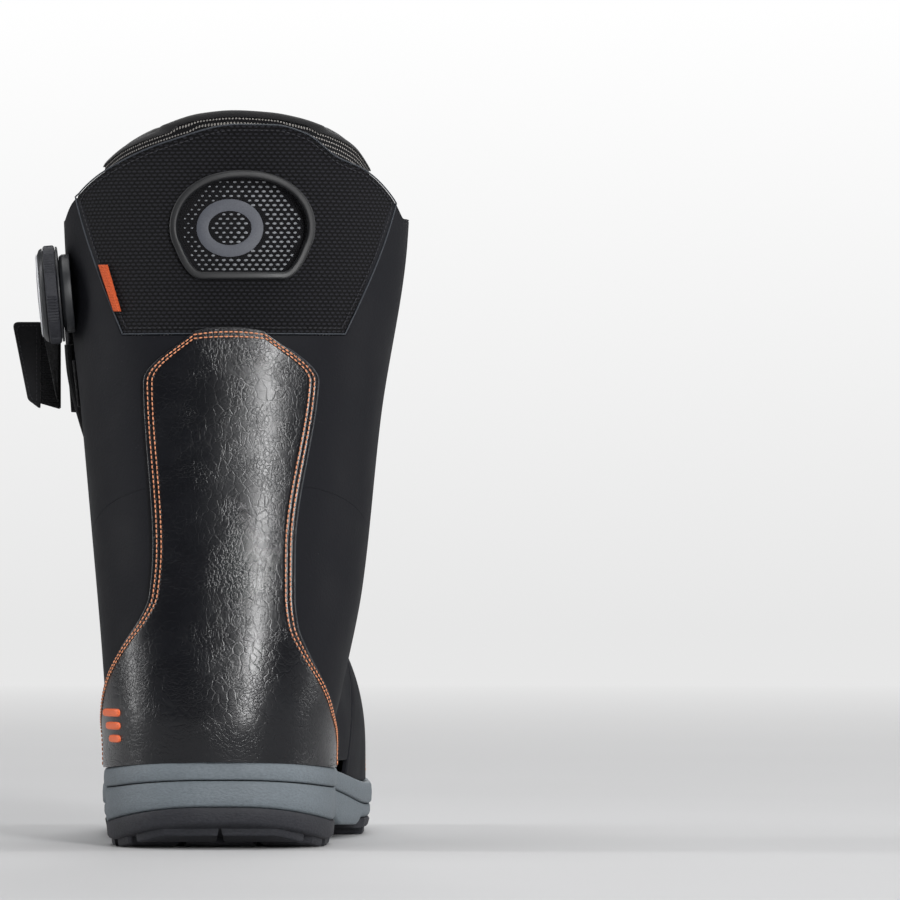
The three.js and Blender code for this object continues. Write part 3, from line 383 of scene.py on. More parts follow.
# ---------------------------------------------------------------- edges of the shell's panels
TOP_EDGE = profile(
    [
        (-180, -29), (-110, -37), (-80, -38), (-65, -30), (-46, -18.5), (-22, -6.6), (0, 0),
        (12, -0.2), (22, -3.5), (33, -13), (43, -17.5), (60, -29.5), (70, -37), (110, -37),
        (180, -29),
    ]
)


def top_edge(angle):
    return SHELL_HEIGHT + TOP_EDGE(angle)


def bottom_edge(angle):
    return rim_top(round_leg(angle, FOOT_BASE)[0][..., 1]) + 0.7


throat_half = profile(
    [
        (95, THROAT_HALF_LOW),
        (up_shell(0.6), mix(THROAT_HALF_LOW, THROAT_HALF, 0.6)),
        (up_shell(0.9), THROAT_HALF),
    ]
)
THROAT = 28.0
SIDE_SEAM = 31.5


def seam_angle(p):
    return mix(THROAT, SIDE_SEAM, smooth(np.abs(p[..., 0] - 8), 18, 45))


def find_quarter_front(side):
    """How far round toward the front a quarter reaches, as a function of height."""
    z = np.linspace(20, SHELL_HEIGHT, 340)

    def inside(angle):
        p = round_leg(side * angle, z)[0]
        centre, _, y, _ = leg_at(z)
        behind = (p[..., 1] < y) | (np.abs(p[..., 0] - centre) > throat_half(z))
        return (fan_angle(p) > seam_angle(p) + 0.25) & behind

    front = edge_of(inside, np.full(z.shape, 60.0), np.full(z.shape, 179.5))
    return lambda height: np.interp(height, z, front)


QUARTER_FRONT = {side: find_quarter_front(side) for side in (-1, 1)}


def find_over_rim(side):
    """The angle over the front at which a fan plane meets the sole's rim, as a function of station."""
    station = np.linspace(-(TOE_Y - FAN_Y) + 0.0002, 36, 400)

    def above(angle):
        p = over(side * angle, station)[0]
        return p[..., 2] > rim_top(p[..., 1]) + 0.4

    angle = edge_of(above, np.full(station.shape, 30.0), np.full(station.shape, 150.0))
    return lambda at: np.interp(at, station, angle)


OVER_RIM = {side: find_over_rim(side) for side in (-1, 1)}


def over_at(offset, station):
    """The angle over the front at a station where the point is that far to one side of the middle."""
    fan = np.linspace(-88, 88, 89)
    flat = np.asarray(station, float).ravel()
    unique, back = np.unique(np.round(flat, 6), return_inverse=True)
    x = over(fan[None, :], unique[:, None])[0][..., 0]
    offsets = x - x[:, 44:45]
    angles = [np.interp(o, offsets[i], fan) for o, i in zip(np.asarray(offset, float).ravel(), back)]
    return np.array(angles).reshape(np.shape(station))


MESH_BOTTOM = up_shell(0.711)
MESH_CORNER = up_shell(0.897)
MESH_HALF_BOTTOM = 39.5
MESH_HALF_TOP = 62.0


def mesh_half(z):
    return mix(MESH_HALF_BOTTOM, MESH_HALF_TOP, (z - MESH_BOTTOM) / (MESH_CORNER - MESH_BOTTOM))


def flex_seam(angle):
    return up_shell(mix(0.5, 0.425, smooth(np.abs(angle), 20, 90)))


# ---------------------------------------------------------------- meshes
FLAT = "flat"  # the name of the UV layer, whose unit is a tenth of a metre


def make(name, points, faces, material, body, nodes=(), flat=None, sharp=48.0):
    """A mesh piece from points in millimetres, riding on a body and standing for CAD nodes."""
    mesh = bpy.data.meshes.new(name)
    mesh.from_pydata((np.asarray(points) * MM).tolist(), [], [list(map(int, f)) for f in faces])
    mesh.validate()
    mesh.update()
    if flat is not None:
        layer = mesh.uv_layers.new(name=FLAT)
        corner = np.zeros(len(mesh.loops), int)
        mesh.loops.foreach_get("vertex_index", corner)
        layer.data.foreach_set("uv", (np.asarray(flat) / 100)[corner].ravel())
    mesh.shade_smooth()
    mesh.set_sharp_from_angle(angle=math.radians(sharp))
    piece = bpy.data.objects.new(name, mesh)
    bpy.context.scene.collection.objects.link(piece)
    mesh.materials.append(material)
    if isinstance(body, str):
        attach(piece, body)
    else:
        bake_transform(piece)
    if nodes:
        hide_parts(*([nodes] if isinstance(nodes, str) else nodes))
    return piece


def grid_faces(rows, columns, first=0, ring=False):
    """Quads of a grid of rows by columns points, joined round the columns where ring is set."""
    i, j = np.meshgrid(np.arange(rows - 1), np.arange(columns if ring else columns - 1), indexing="ij")
    k = (j + 1) % columns
    quads = np.stack([i * columns + j, i * columns + k, (i + 1) * columns + k, (i + 1) * columns + j], -1)
    return quads.reshape(-1, 4) + first


def facing_out(points, faces):
    """The faces, turned over where the closed mesh would be inside out."""
    a, b, c, d = (points[faces[:, i]] for i in range(4))
    volume = np.einsum("ij,ij->i", a, np.cross(b, c)) + np.einsum("ij,ij->i", a, np.cross(c, d))
    return faces if volume.sum() > 0 else faces[:, ::-1]


def spaced(count, length, rim):
    """Shares from 0 to 1, with a few extra close to both ends for a rounded rim."""
    share = min(rim / max(length, 1e-6), 0.3)
    ends = share * np.array([0, 0.06, 0.2, 0.42, 0.7])
    return np.concatenate([ends, np.linspace(share, 1 - share, count), 1 - ends[::-1]])


def rounding(distance, radius):
    """How far a surface has dropped at that distance from an edge of that radius."""
    t = np.clip(distance / radius, 0, 1)
    return radius * (1 - np.sqrt(1 - (1 - t) ** 2))


def along(points, axis):
    step = np.linalg.norm(np.diff(points, axis=axis), axis=-1)
    zero = np.zeros_like(np.take(step, [0], axis=axis))
    return np.cumsum(np.concatenate([zero, step], axis=axis), axis=axis)


ALL_ROUNDED = (1, 1, 1, 1)
LOW_EDGE_SQUARE = (1, 1, 0, 1)
HIGH_EDGE_SQUARE = (1, 1, 1, 0)
ONLY_HIGH_EDGE_ROUNDED = (0, 0, 0, 1)


def layered(
    hit, across, up, outer, inner, rim=0.8, under=0.0, relief=None, open_sides=ALL_ROUNDED, floor=None
):
    """Points, faces and flat coordinates of a sheet over hit(u, v) between two offsets, with rounded rims.

    open_sides says which of the low u, high u, low v and high v edges are rounded. An offset may be
    a function of the surface points. floor gives the outer and inner layers' least heights."""
    coarse = hit(*np.meshgrid(np.linspace(0, 1, 9), np.linspace(0, 1, 9), indexing="ij"))[0]
    wide = along(coarse, 0)[-1].mean()
    tall = along(coarse, 1)[:, -1].mean()
    u, v = np.meshgrid(spaced(across, wide, rim), spaced(up, tall, rim), indexing="ij")
    point, normal = hit(u, v)
    du, dv = along(point, 0), along(point, 1)
    far = 1e6
    edges = [du, du[-1:] - du, dv, dv[:, -1:] - dv]
    distance = np.minimum.reduce([e if open_ else far + 0 * e for e, open_ in zip(edges, open_sides)])
    offset = lambda value: value(point) if callable(value) else value
    top = offset(outer) - rounding(distance, rim)
    if relief is not None:
        top = top + relief(point, distance, du, dv)
    bottom = offset(inner) + (rounding(distance, under) if under else 0 * distance)
    layers = [point + normal * top[..., None], point + normal * bottom[..., None]]
    if floor is not None:
        for layer, least in zip(layers, floor(point)):
            layer[..., 2] = np.maximum(layer[..., 2], least)
    points = np.concatenate([layer.reshape(-1, 3) for layer in layers])
    rows, columns = u.shape
    low = rows * columns
    outer_faces = grid_faces(rows, columns)
    inner_faces = grid_faces(rows, columns, low)[:, ::-1]
    index = np.arange(low).reshape(rows, columns)
    border = np.concatenate([index[:, 0], index[-1, 1:], index[-2::-1, -1], index[0, -2:0:-1]])
    after = np.roll(border, -1)
    walls = np.stack([after, border, border + low, after + low], -1)
    faces = facing_out(points, np.concatenate([outer_faces, inner_faces, walls[:, ::-1]]))
    flat = np.stack([u * wide, v * tall], -1).reshape(-1, 2)
    return points, faces, np.concatenate([flat, flat])


def panel(name, hit, across, up, outer, inner, material, body="shell", nodes=None, slot=None, **shape):
    points, faces, flat = layered(hit, across, up, outer, inner, **shape)
    return make(name, points, faces, material, body, nodes or name, flat)


def swept(path, across, up, section):
    """A closed tube whose section, points (a, b), lies on the across and up vectors at each path point."""
    a, b = np.array(section, float).T
    rings = path[:, None] + across[:, None] * a[None, :, None] + up[:, None] * b[None, :, None]
    return rings


def ring_body(rings, closed):
    """Points and faces of rings of points: a loop where closed, else a bar with a fan cap at each end."""
    count, sides = rings.shape[:2]
    points = rings.reshape(-1, 3)
    faces = grid_faces(count, sides, ring=True)
    if closed:
        last, j = (count - 1) * sides, np.arange(sides)
        k = (j + 1) % sides
        faces = np.concatenate([faces, np.stack([last + j, last + k, k, j], -1)])
        return points, facing_out(points, faces)
    ends = np.array([rings[0].mean(0), rings[-1].mean(0)])
    centre, last = len(points), (count - 1) * sides
    j = np.arange(0, sides, 2)
    k, m = (j + 1) % sides, (j + 2) % sides
    start_cap = np.stack([0 * j + centre, m, k, j], -1)
    end_cap = np.stack([0 * j + centre + 1, last + j, last + k, last + m], -1)
    points = np.concatenate([points, ends])
    return points, facing_out(points, np.concatenate([faces, start_cap, end_cap]))


def circle(radius, sides):
    turn = 2 * np.pi * np.arange(sides) / sides
    return np.stack([radius * np.cos(turn), radius * np.sin(turn)], -1)


def frames(path, closed=False):
    """Across and up unit vectors carried along a path with little twist."""
    step = np.roll(path, -1, 0) - np.roll(path, 1, 0) if closed else np.gradient(path, axis=0)
    tangent = unit(step)
    side = np.zeros_like(path)
    guess = np.array([0, 0, 1.0]) if abs(tangent[0, 2]) < 0.9 else np.array([0, 1.0, 0])
    for i, t in enumerate(tangent):
        guess = guess - t * (guess @ t)
        guess = guess / np.linalg.norm(guess)
        side[i] = guess
    return side, np.cross(tangent, side)


def tube(name, path, radius, sides, material, body, nodes=(), closed=False):
    side, up = frames(path, closed)
    rings = swept(path, side, up, circle(radius, sides))
    points, faces = ring_body(rings, closed)
    length = along(path, 0)
    turn = np.linspace(0, 2 * np.pi * radius, sides)
    flat = np.stack(np.meshgrid(length, turn, indexing="ij"), -1).reshape(-1, 2)
    if not closed:
        flat = np.concatenate([flat, [[0, 0], [length[-1], 0]]])
    return make(name, points, faces, material, body, nodes, flat)


def lathe(name, outline, sides, place, material, body, nodes=(), reach=None):
    """A closed outline of (radius, height) points turned about an axis.

    What reach(turn, height, radius) gives is added to the radius."""
    outline = np.array(outline, float)
    turn = 2 * np.pi * np.arange(sides) / sides
    radius = np.repeat(outline[None, :, 0], sides, 0)
    height = np.repeat(outline[None, :, 1], sides, 0)
    if reach is not None:
        radius = radius + reach(turn[:, None], height, radius)
    rings = place(radius * np.cos(turn)[:, None], radius * np.sin(turn)[:, None], height)
    points = rings.reshape(-1, 3)
    count = len(outline)
    closed = outline[0, 0] > 1e-6
    faces = grid_faces(sides, count, ring=closed)
    i = np.arange(count if closed else count - 1)
    last = (sides - 1) * count
    k = (i + 1) % count
    faces = np.concatenate([faces, np.stack([last + i, last + k, k, i], -1)])
    faces = facing_out(points, faces)
    length = along(outline, 0)
    flat = np.stack(np.meshgrid(turn * outline[:, 0].max(), length, indexing="ij"), -1).reshape(-1, 2)
    return make(name, points, faces, material, body, nodes, flat)


def rounded(corners, radii, steps=4):
    """A closed outline with its corners rounded."""
    corners = np.array(corners, float)
    points = []
    for before, corner, after, radius in zip(
        np.roll(corners, 1, 0), corners, np.roll(corners, -1, 0), radii
    ):
        if radius <= 0:
            points.append(corner)
            continue
        into, out = unit(before - corner), unit(after - corner)
        half = math.acos(np.clip(into @ out, -1, 1)) / 2
        shorter = min(np.linalg.norm(before - corner), np.linalg.norm(after - corner))
        reach = min(radius / math.tan(half), 0.48 * shorter)
        start, end = corner + into * reach, corner + out * reach
        for t in np.linspace(0, 1, steps):
            points.append((1 - t) ** 2 * start + 2 * t * (1 - t) * corner + t * t * end)
    return np.array(points)


def beads(name, places, long_axis, normals, size, material, body, lift_by=0.0):
    """Small ellipsoids, such as stitches: half lengths of size along, across and out of the surface."""
    rows, sides = 5, 8
    tilt = np.linspace(-np.pi / 2, np.pi / 2, rows)
    turn = 2 * np.pi * np.arange(sides) / sides
    a = np.sin(tilt)[:, None] + 0 * turn
    ring = np.maximum(np.cos(tilt), 0.03)[:, None]
    b, c = ring * np.cos(turn), ring * np.sin(turn)
    long_axis = unit(long_axis - normals * np.einsum("ij,ij->i", long_axis, normals)[:, None])
    across = np.cross(normals, long_axis)
    shape = [s.reshape(1, -1, 1) for s in (a * size[0], b * size[1], c * size[2])]
    points = (
        (places + normals * lift_by)[:, None]
        + long_axis[:, None] * shape[0]
        + across[:, None] * shape[1]
        + normals[:, None] * shape[2]
    )
    one = grid_faces(rows, sides, ring=True)
    count = rows * sides
    faces = (one[None] + count * np.arange(len(places))[:, None, None]).reshape(-1, 4)
    caps = []
    for first in (0, (rows - 1) * sides):
        corner = first + np.arange(sides)
        loop = corner[::-1] if first else corner
        caps.append(np.stack([loop[[0, 0, 0]], loop[[1, 3, 5]], loop[[2, 4, 6]], loop[[3, 5, 7]]], -1))
    cap = np.concatenate(caps)
    cap_faces = (cap[None] + count * np.arange(len(places))[:, None, None]).reshape(-1, 4)
    flat = np.repeat(places[:, :2], count, 0)
    everything = np.concatenate([faces, cap_faces])
    flat_points = points.reshape(-1, 3)
    return make(name, flat_points, facing_out(flat_points, everything), material, body, (), flat, 80)


def stitches(name, path, normals, material, pitch=2.0, size=(0.82, 0.27, 0.22), body="shell", lift_by=0.1):
    """A row of stitches along a path on the surface."""
    length = along(path, 0)
    at = np.arange(pitch / 2, length[-1], pitch)
    pick = lambda values: np.stack([np.interp(at, length, values[:, i]) for i in range(3)], -1)
    place = pick(path)
    direction = pick(np.gradient(path, axis=0))
    return beads(name, place, direction, unit(pick(normals)), size, material, body, lift_by)


# ---------------------------------------------------------------- materials
class Shader:
    """A material's nodes, made with short calls: each returns its first output socket."""

    def __init__(self, name, roughness=0.6, **constants):
        self.material = bpy.data.materials.new(name)
        self.material.use_nodes = True
        self.tree = self.material.node_tree
        self.surface = self.tree.nodes["Principled BSDF"]
        self.surface.inputs["Roughness"].default_value = roughness
        for socket, value in constants.items():
            self.surface.inputs[socket.replace("_", " ")].default_value = value
        self.place = self.add("ShaderNodeTexCoord").node.outputs["Object"]
        uv = self.add("ShaderNodeUVMap")
        uv.node.uv_map = FLAT
        self.flat = uv

    def add(self, kind, *inputs, **properties):
        node = self.tree.nodes.new(kind)
        for key, value in properties.items():
            setattr(node, key, value)
        for socket, value in zip(node.inputs, inputs):
            self.feed(socket, value)
        return node.outputs[0]

    def feed(self, socket, value):
        if value is None:
            return
        if isinstance(value, bpy.types.NodeSocket):
            self.tree.links.new(value, socket)
        else:
            socket.default_value = value

    def math(self, operation, *values):
        return self.add("ShaderNodeMath", *values, operation=operation)

    def noise(self, scale, detail=2.0, roughness=0.5, stretch=None):
        """Noise in the object's space, scale cells to a metre."""
        place = self.place
        if stretch:
            place = self.add("ShaderNodeVectorMath", place, stretch, operation="MULTIPLY")
        node = self.add("ShaderNodeTexNoise").node
        self.feed(node.inputs["Vector"], place)
        for socket, value in (("Scale", scale), ("Detail", detail), ("Roughness", roughness)):
            self.feed(node.inputs[socket], value)
        return node.outputs["Fac"]

    def cells(self, scale, randomness=1.0, feature="F1", warp=0.0):
        """Distances in a net of cells, whose lines wander by warp metres."""
        place = self.place
        if warp:
            wander = self.add("ShaderNodeTexNoise").node
            self.feed(wander.inputs["Vector"], self.place)
            self.feed(wander.inputs["Scale"], 0.55 / warp)
            shift = self.add(
                "ShaderNodeVectorMath", wander.outputs["Color"], (warp, warp, warp), operation="MULTIPLY"
            )
            place = self.add("ShaderNodeVectorMath", place, shift, operation="ADD")
        node = self.add("ShaderNodeTexVoronoi", feature=feature).node
        self.feed(node.inputs["Vector"], place)
        self.feed(node.inputs["Scale"], scale)
        self.feed(node.inputs["Randomness"], randomness)
        return node.outputs["Distance"]

    def ramp(self, value, low, high, start=0.0, end=1.0):
        node = self.add("ShaderNodeMapRange").node
        for i, v in enumerate((value, low, high, start, end)):
            self.feed(node.inputs[i], v)
        return node.outputs[0]

    def blend(self, share, a, b):
        node = self.add("ShaderNodeMix", data_type="RGBA").node
        self.feed(node.inputs[0], share)
        self.feed(node.inputs[6], (*a, 1) if isinstance(a, tuple) else a)
        self.feed(node.inputs[7], (*b, 1) if isinstance(b, tuple) else b)
        return node.outputs[2]

    def dots(self, pitch, size, offset=0.5, soft=0.35):
        """Oval dots in rows on the flat coordinates, 1 in a dot and each other row set over.

        Pitch and size are in millimetres."""
        split = self.add("ShaderNodeSeparateXYZ", self.flat).node
        row = self.math("MULTIPLY", split.outputs[1], 100 / pitch[1])
        odd = self.math("MODULO", self.math("FLOOR", row), 2.0)
        column = self.math("MULTIPLY", split.outputs[0], 100 / pitch[0])
        column = self.math("ADD", column, self.math("MULTIPLY", odd, offset))
        across = self.math("SUBTRACT", self.math("FRACT", column), 0.5)
        up = self.math("SUBTRACT", self.math("FRACT", row), 0.5)
        across = self.math("MULTIPLY", across, 2 * pitch[0] / size[0])
        up = self.math("MULTIPLY", up, 2 * pitch[1] / size[1])
        across_squared = self.math("POWER", self.math("ABSOLUTE", across), 2.0)
        up_squared = self.math("POWER", self.math("ABSOLUTE", up), 2.0)
        reach = self.math("ADD", across_squared, up_squared)
        return self.ramp(reach, 1 + soft, 1 - soft)

    def finish(self, colour, height=None, depth=0.0002, roughness=None):
        self.feed(self.surface.inputs["Base Color"], colour)
        if roughness is not None:
            self.feed(self.surface.inputs["Roughness"], roughness)
        if height is not None:
            bump = self.add("ShaderNodeBump").node
            bump.inputs["Strength"].default_value = 1.0
            bump.inputs["Distance"].default_value = depth
            self.feed(bump.inputs["Height"], height)
            self.feed(self.surface.inputs["Normal"], bump.outputs["Normal"])
        return self.material


def matte_shell():
    s = Shader("matte_shell", 0.62, Specular_IOR_Level=0.14)
    grain = s.noise(900, 3, 0.6)
    broad = s.noise(38, 2)
    speck = s.ramp(s.cells(520), 0.12, 0.05)
    speck = s.math("MULTIPLY", speck, s.ramp(s.noise(170), 0.5, 0.7))
    colour = s.blend(broad, (0.0048, 0.005, 0.0072), (0.0072, 0.0076, 0.0104))
    colour = s.blend(s.math("MULTIPLY", speck, 0.7), colour, (0.06, 0.06, 0.066))
    return s.finish(colour, grain, 0.00012, s.ramp(broad, 0.3, 0.7, 0.56, 0.68))


def gloss_leather():
    """Black leather with a fine crackle: two nets of thin creases and a pebble grain."""
    s = Shader("gloss_leather", 0.24, Specular_IOR_Level=0.42, Coat_Weight=0.08, Coat_Roughness=0.18)
    broad = s.noise(45, 3)
    wide = s.ramp(s.cells(290, feature="DISTANCE_TO_EDGE", warp=0.004), 0.0, 0.09)
    narrow = s.ramp(s.cells(640, feature="DISTANCE_TO_EDGE", warp=0.0016), 0.0, 0.12)
    patch = s.ramp(s.noise(75, 2), 0.42, 0.62)
    wide = s.math("MULTIPLY", s.math("MULTIPLY", wide, s.ramp(s.noise(110, 3), 0.35, 0.65, 0.45, 1.0)), 0.6)
    lines = s.math("ADD", wide, s.math("MULTIPLY", s.math("MULTIPLY", narrow, patch), 0.55))
    height = s.math("ADD", lines, s.math("MULTIPLY", s.noise(1900, 2), 0.35))
    colour = s.blend(broad, (0.002, 0.0022, 0.0034), (0.0045, 0.005, 0.0074))
    return s.finish(colour, height, 0.00007, s.ramp(broad, 0.3, 0.7, 0.24, 0.3))


def knit(name, dark, light, pitch, size, depth=0.00035, soft=0.6):
    s = Shader(name, 0.9, Specular_IOR_Level=0.25)
    knot = s.dots(pitch, size, soft=soft)
    grain = s.noise(2600, 2)
    colour = s.blend(s.math("MULTIPLY", knot, s.ramp(grain, 0.2, 0.8, 0.65, 1.0)), dark, light)
    height = s.math("ADD", knot, s.math("MULTIPLY", grain, 0.25))
    return s.finish(colour, height, depth)


def woven(name, dark, light, pitch=(2.0, 1.0)):
    s = Shader(name, 0.85, Specular_IOR_Level=0.3)
    thread = s.dots(pitch, (pitch[0] * 0.98, pitch[1] * 0.98), soft=0.75)
    fibre = s.noise(3000, 3, stretch=(1, 1, 0.3))
    colour = s.blend(s.math("MULTIPLY", thread, fibre), dark, light)
    return s.finish(colour, s.math("ADD", thread, s.math("MULTIPLY", fibre, 0.35)), 0.0003)


def fuzzy(name, dark, light):
    s = Shader(name, 0.95, Specular_IOR_Level=0.15, Sheen_Weight=0.25, Sheen_Roughness=0.6)
    tuft = s.cells(720)
    fibre = s.noise(3200, 4, 0.7)
    height = s.math("SUBTRACT", s.math("MULTIPLY", fibre, 1.0), s.math("MULTIPLY", tuft, 0.8))
    return s.finish(s.blend(s.ramp(height, -0.3, 0.5), dark, light), height, 0.0007)


def grained_rubber(name, dark, light, scale=420, depth=0.00028, roughness=0.62):
    s = Shader(name, roughness, Specular_IOR_Level=0.4)
    wave = s.noise(scale, 2, 0.4, stretch=(0.8, 0.8, 1.6))
    fine = s.noise(scale * 4, 2)
    height = s.math("ADD", wave, s.math("MULTIPLY", fine, 0.25))
    colour = s.blend(s.ramp(height, 0.35, 0.85), dark, light)
    return s.finish(colour, height, depth, s.ramp(fine, 0.3, 0.7, roughness - 0.06, roughness + 0.08))


def satin_plastic(name, dark, light, roughness=0.42):
    s = Shader(name, roughness, Specular_IOR_Level=0.5)
    grain = s.noise(1700, 2)
    patchy = s.ramp(s.noise(60), 0.3, 0.7, roughness - 0.05, roughness + 0.08)
    return s.finish(s.blend(grain, dark, light), grain, 0.00004, patchy)


def brushed_steel():
    s = Shader("brushed_steel", 0.3, Metallic=1.0)
    line = s.noise(260, 3, stretch=(1, 12, 12))
    colour = s.blend(line, (0.42, 0.43, 0.45), (0.62, 0.63, 0.65))
    return s.finish(colour, line, 0.00003, s.ramp(line, 0.3, 0.7, 0.24, 0.38))


def soft_foam(name, dark, light):
    s = Shader(name, 0.95, Specular_IOR_Level=0.2)
    cell = s.cells(1400)
    return s.finish(s.blend(s.ramp(cell, 0.1, 0.6), dark, light), cell, 0.0002)


def fabric(name, dark, light):
    """A fine knit without a pattern that shows, such as binding."""
    s = Shader(name, 0.92, Specular_IOR_Level=0.2, Sheen_Weight=0.15, Sheen_Roughness=0.5)
    thread = s.noise(2400, 3, 0.6)
    broad = s.noise(60, 2)
    colour = s.blend(s.math("MULTIPLY", thread, broad), dark, light)
    return s.finish(colour, thread, 0.00018)


def thread_copper():
    s = Shader("copper_thread", 0.55, Specular_IOR_Level=0.4)
    twist = s.noise(1900, 2)
    return s.finish(s.blend(twist, (0.5, 0.16, 0.07), (0.86, 0.38, 0.2)), twist, 0.00008)


def thread_dark():
    s = Shader("dark_thread", 0.7, Specular_IOR_Level=0.3)
    twist = s.noise(1900, 2)
    return s.finish(s.blend(twist, (0.012, 0.012, 0.014), (0.035, 0.035, 0.04)), twist, 0.00008)


M = {
    "matte": matte_shell(),
    "leather": gloss_leather(),
    "knit": knit(
        "ballistic_knit", (0.001, 0.001, 0.0014), (0.018, 0.018, 0.023), (2.3, 1.5), (1.75, 0.95), 0.0006
    ),
    "window": knit("window_mesh", (0.003, 0.003, 0.004), (0.012, 0.012, 0.014), (1.0, 0.9), (0.7, 0.6)),
    "dashes": knit(
        "dashed_liner", (0.005, 0.005, 0.006), (0.36, 0.34, 0.32), (3.1, 2.0), (2.0, 0.8), 0.0003, 0.3
    ),
    "binding": fabric("collar_binding", (0.006, 0.006, 0.007), (0.019, 0.018, 0.018)),
    "sole": grained_rubber("grey_rubber", (0.115, 0.135, 0.15), (0.15, 0.175, 0.195), 900, 0.0002),
    "tread": grained_rubber("dark_rubber", (0.013, 0.0135, 0.018), (0.024, 0.025, 0.031), 900, 0.0002, 0.66),
    "plastic": satin_plastic("satin_plastic", (0.0095, 0.0105, 0.0125), (0.0145, 0.016, 0.0185)),
    "gasket": satin_plastic("gasket_plastic", (0.003, 0.0032, 0.0042), (0.0055, 0.006, 0.0075), 0.5),
    "guide": satin_plastic("guide_plastic", (0.013, 0.014, 0.016), (0.02, 0.021, 0.024), 0.5),
    "webbing": woven("webbing", (0.0035, 0.0035, 0.004), (0.02, 0.02, 0.022)),
    "hook": fuzzy("hook_pile", (0.003, 0.003, 0.0035), (0.028, 0.028, 0.03)),
    "endtab": fabric("end_tab_fabric", (0.008, 0.008, 0.009), (0.024, 0.024, 0.027)),
    "orange": woven("orange_fabric", (0.46, 0.06, 0.018), (0.84, 0.17, 0.05), (1.2, 0.7)),
    "orange_rubber": satin_plastic("orange_rubber", (0.72, 0.12, 0.035), (0.86, 0.17, 0.05), 0.5),
    "grey_print": satin_plastic("grey_print", (0.05, 0.054, 0.068), (0.09, 0.096, 0.115), 0.6),
    "dot_light": satin_plastic("pale_dot", (0.11, 0.115, 0.125), (0.24, 0.25, 0.27), 0.5),
    "edge_grey": satin_plastic("raw_edge", (0.018, 0.021, 0.027), (0.034, 0.041, 0.052), 0.6),
    "steel": brushed_steel(),
    "foam": soft_foam("grey_foam", (0.03, 0.03, 0.035), (0.07, 0.07, 0.078)),
    "board": soft_foam("fibre_board", (0.07, 0.06, 0.05), (0.13, 0.115, 0.1)),
    "silver": satin_plastic("silver_lacquer", (0.42, 0.43, 0.45), (0.6, 0.61, 0.63), 0.3),
    "lace": woven("lace_cord", (0.02, 0.02, 0.022), (0.09, 0.09, 0.095), (1.2, 0.7)),
    "copper": thread_copper(),
    "dark_thread": thread_dark(),
}


# ---------------------------------------------------------------- camera, floor and light
CAMERA_PLACE = (0.0, -4.048, 0.148)
CAMERA_LENS = 400.0
CAMERA_PAN = 1.3175  # degrees to the right
CAMERA_PITCH = 0.172  # degrees up


def build_camera():
    camera = bpy.data.cameras.new("camera")
    camera.lens = CAMERA_LENS
    camera.sensor_width = 36.0
    camera.clip_end = 100.0
    holder = bpy.data.objects.new("camera", camera)
    bpy.context.scene.collection.objects.link(holder)
    holder.location = CAMERA_PLACE
    holder.rotation_euler = (math.radians(90 + CAMERA_PITCH), 0, math.radians(-CAMERA_PAN))
    bpy.context.scene.camera = holder


BACKDROP_LOW = 0.8  # brightness where the floor meets the backdrop
BACKDROP_HIGH = 1.0
BACKDROP_REACH = 6.0  # metres from the boot


def glow(name, low_strength, high_strength, height):
    """An even pale light that grows brighter with height."""
    paint = Shader(name)
    split = paint.add("ShaderNodeSeparateXYZ", paint.place).node
    strength = paint.ramp(split.outputs[2], 0.0, height, low_strength, high_strength)
    light = paint.add("ShaderNodeEmission", (1, 1, 1, 1), strength)
    output = paint.tree.nodes["Material Output"]
    paint.tree.links.new(light, output.inputs["Surface"])
    return paint.material


def turned_stage(name, outline, material):
    """A stage piece from (reach, height) points turned round the vertical."""
    reach, rise = np.array(outline, float).T
    turn = np.radians(np.arange(0, 360, 4))[:, None]
    rings = np.stack([reach * np.cos(turn), reach * np.sin(turn), rise + 0 * turn], -1)
    count = len(reach)
    i = np.arange(count - 1)
    last = (len(turn) - 1) * count
    faces = np.concatenate([grid_faces(len(turn), count), np.stack([last + i, last + i + 1, i + 1, i], -1)])
    mesh = bpy.data.meshes.new(name)
    mesh.from_pydata(rings.reshape(-1, 3).tolist(), [], faces.tolist())
    mesh.shade_smooth()
    mesh.materials.append(material)
    piece = bpy.data.objects.new(name, mesh)
    bpy.context.scene.collection.objects.link(piece)
    return piece


def build_floor():
    """A pale floor that fades into an even backdrop all round. The backdrop isn't seen in reflections."""
    paint = Shader("floor_paint", 0.75, Specular_IOR_Level=0.25)
    paint.finish(paint.blend(paint.noise(3), (0.5, 0.5, 0.505), (0.53, 0.53, 0.535)))
    split = paint.add("ShaderNodeVectorMath", paint.place, operation="LENGTH").node
    share = paint.ramp(split.outputs[1], 0.7, 3.2)
    light = paint.add("ShaderNodeEmission", (1, 1, 1, 1), BACKDROP_LOW)
    mixed = paint.add("ShaderNodeMixShader", share, paint.surface.outputs[0], light)
    paint.tree.links.new(mixed, paint.tree.nodes["Material Output"].inputs["Surface"])
    turned_stage("floor", [(0, 0), (0.6, 0), (1.5, 0), (3.2, 0), (BACKDROP_REACH, 0)], paint.material)
    wall = turned_stage(
        "backdrop",
        [(BACKDROP_REACH, 0), (BACKDROP_REACH, 0.5), (BACKDROP_REACH, 1.5), (BACKDROP_REACH, 6)],
        glow("backdrop_light", BACKDROP_LOW, BACKDROP_HIGH, 0.62),
    )
    wall.visible_diffuse = False
    wall.visible_glossy = False


def build_light(name, place, target, size, power):
    light = bpy.data.lights.new(name, "AREA")
    light.shape = "RECTANGLE"
    light.size, light.size_y = size
    light.energy = power
    holder = bpy.data.objects.new(name, light)
    bpy.context.scene.collection.objects.link(holder)
    holder.location = place
    aim = Vector(target) - Vector(place)
    holder.rotation_euler = aim.to_track_quat("-Z", "Y").to_euler()


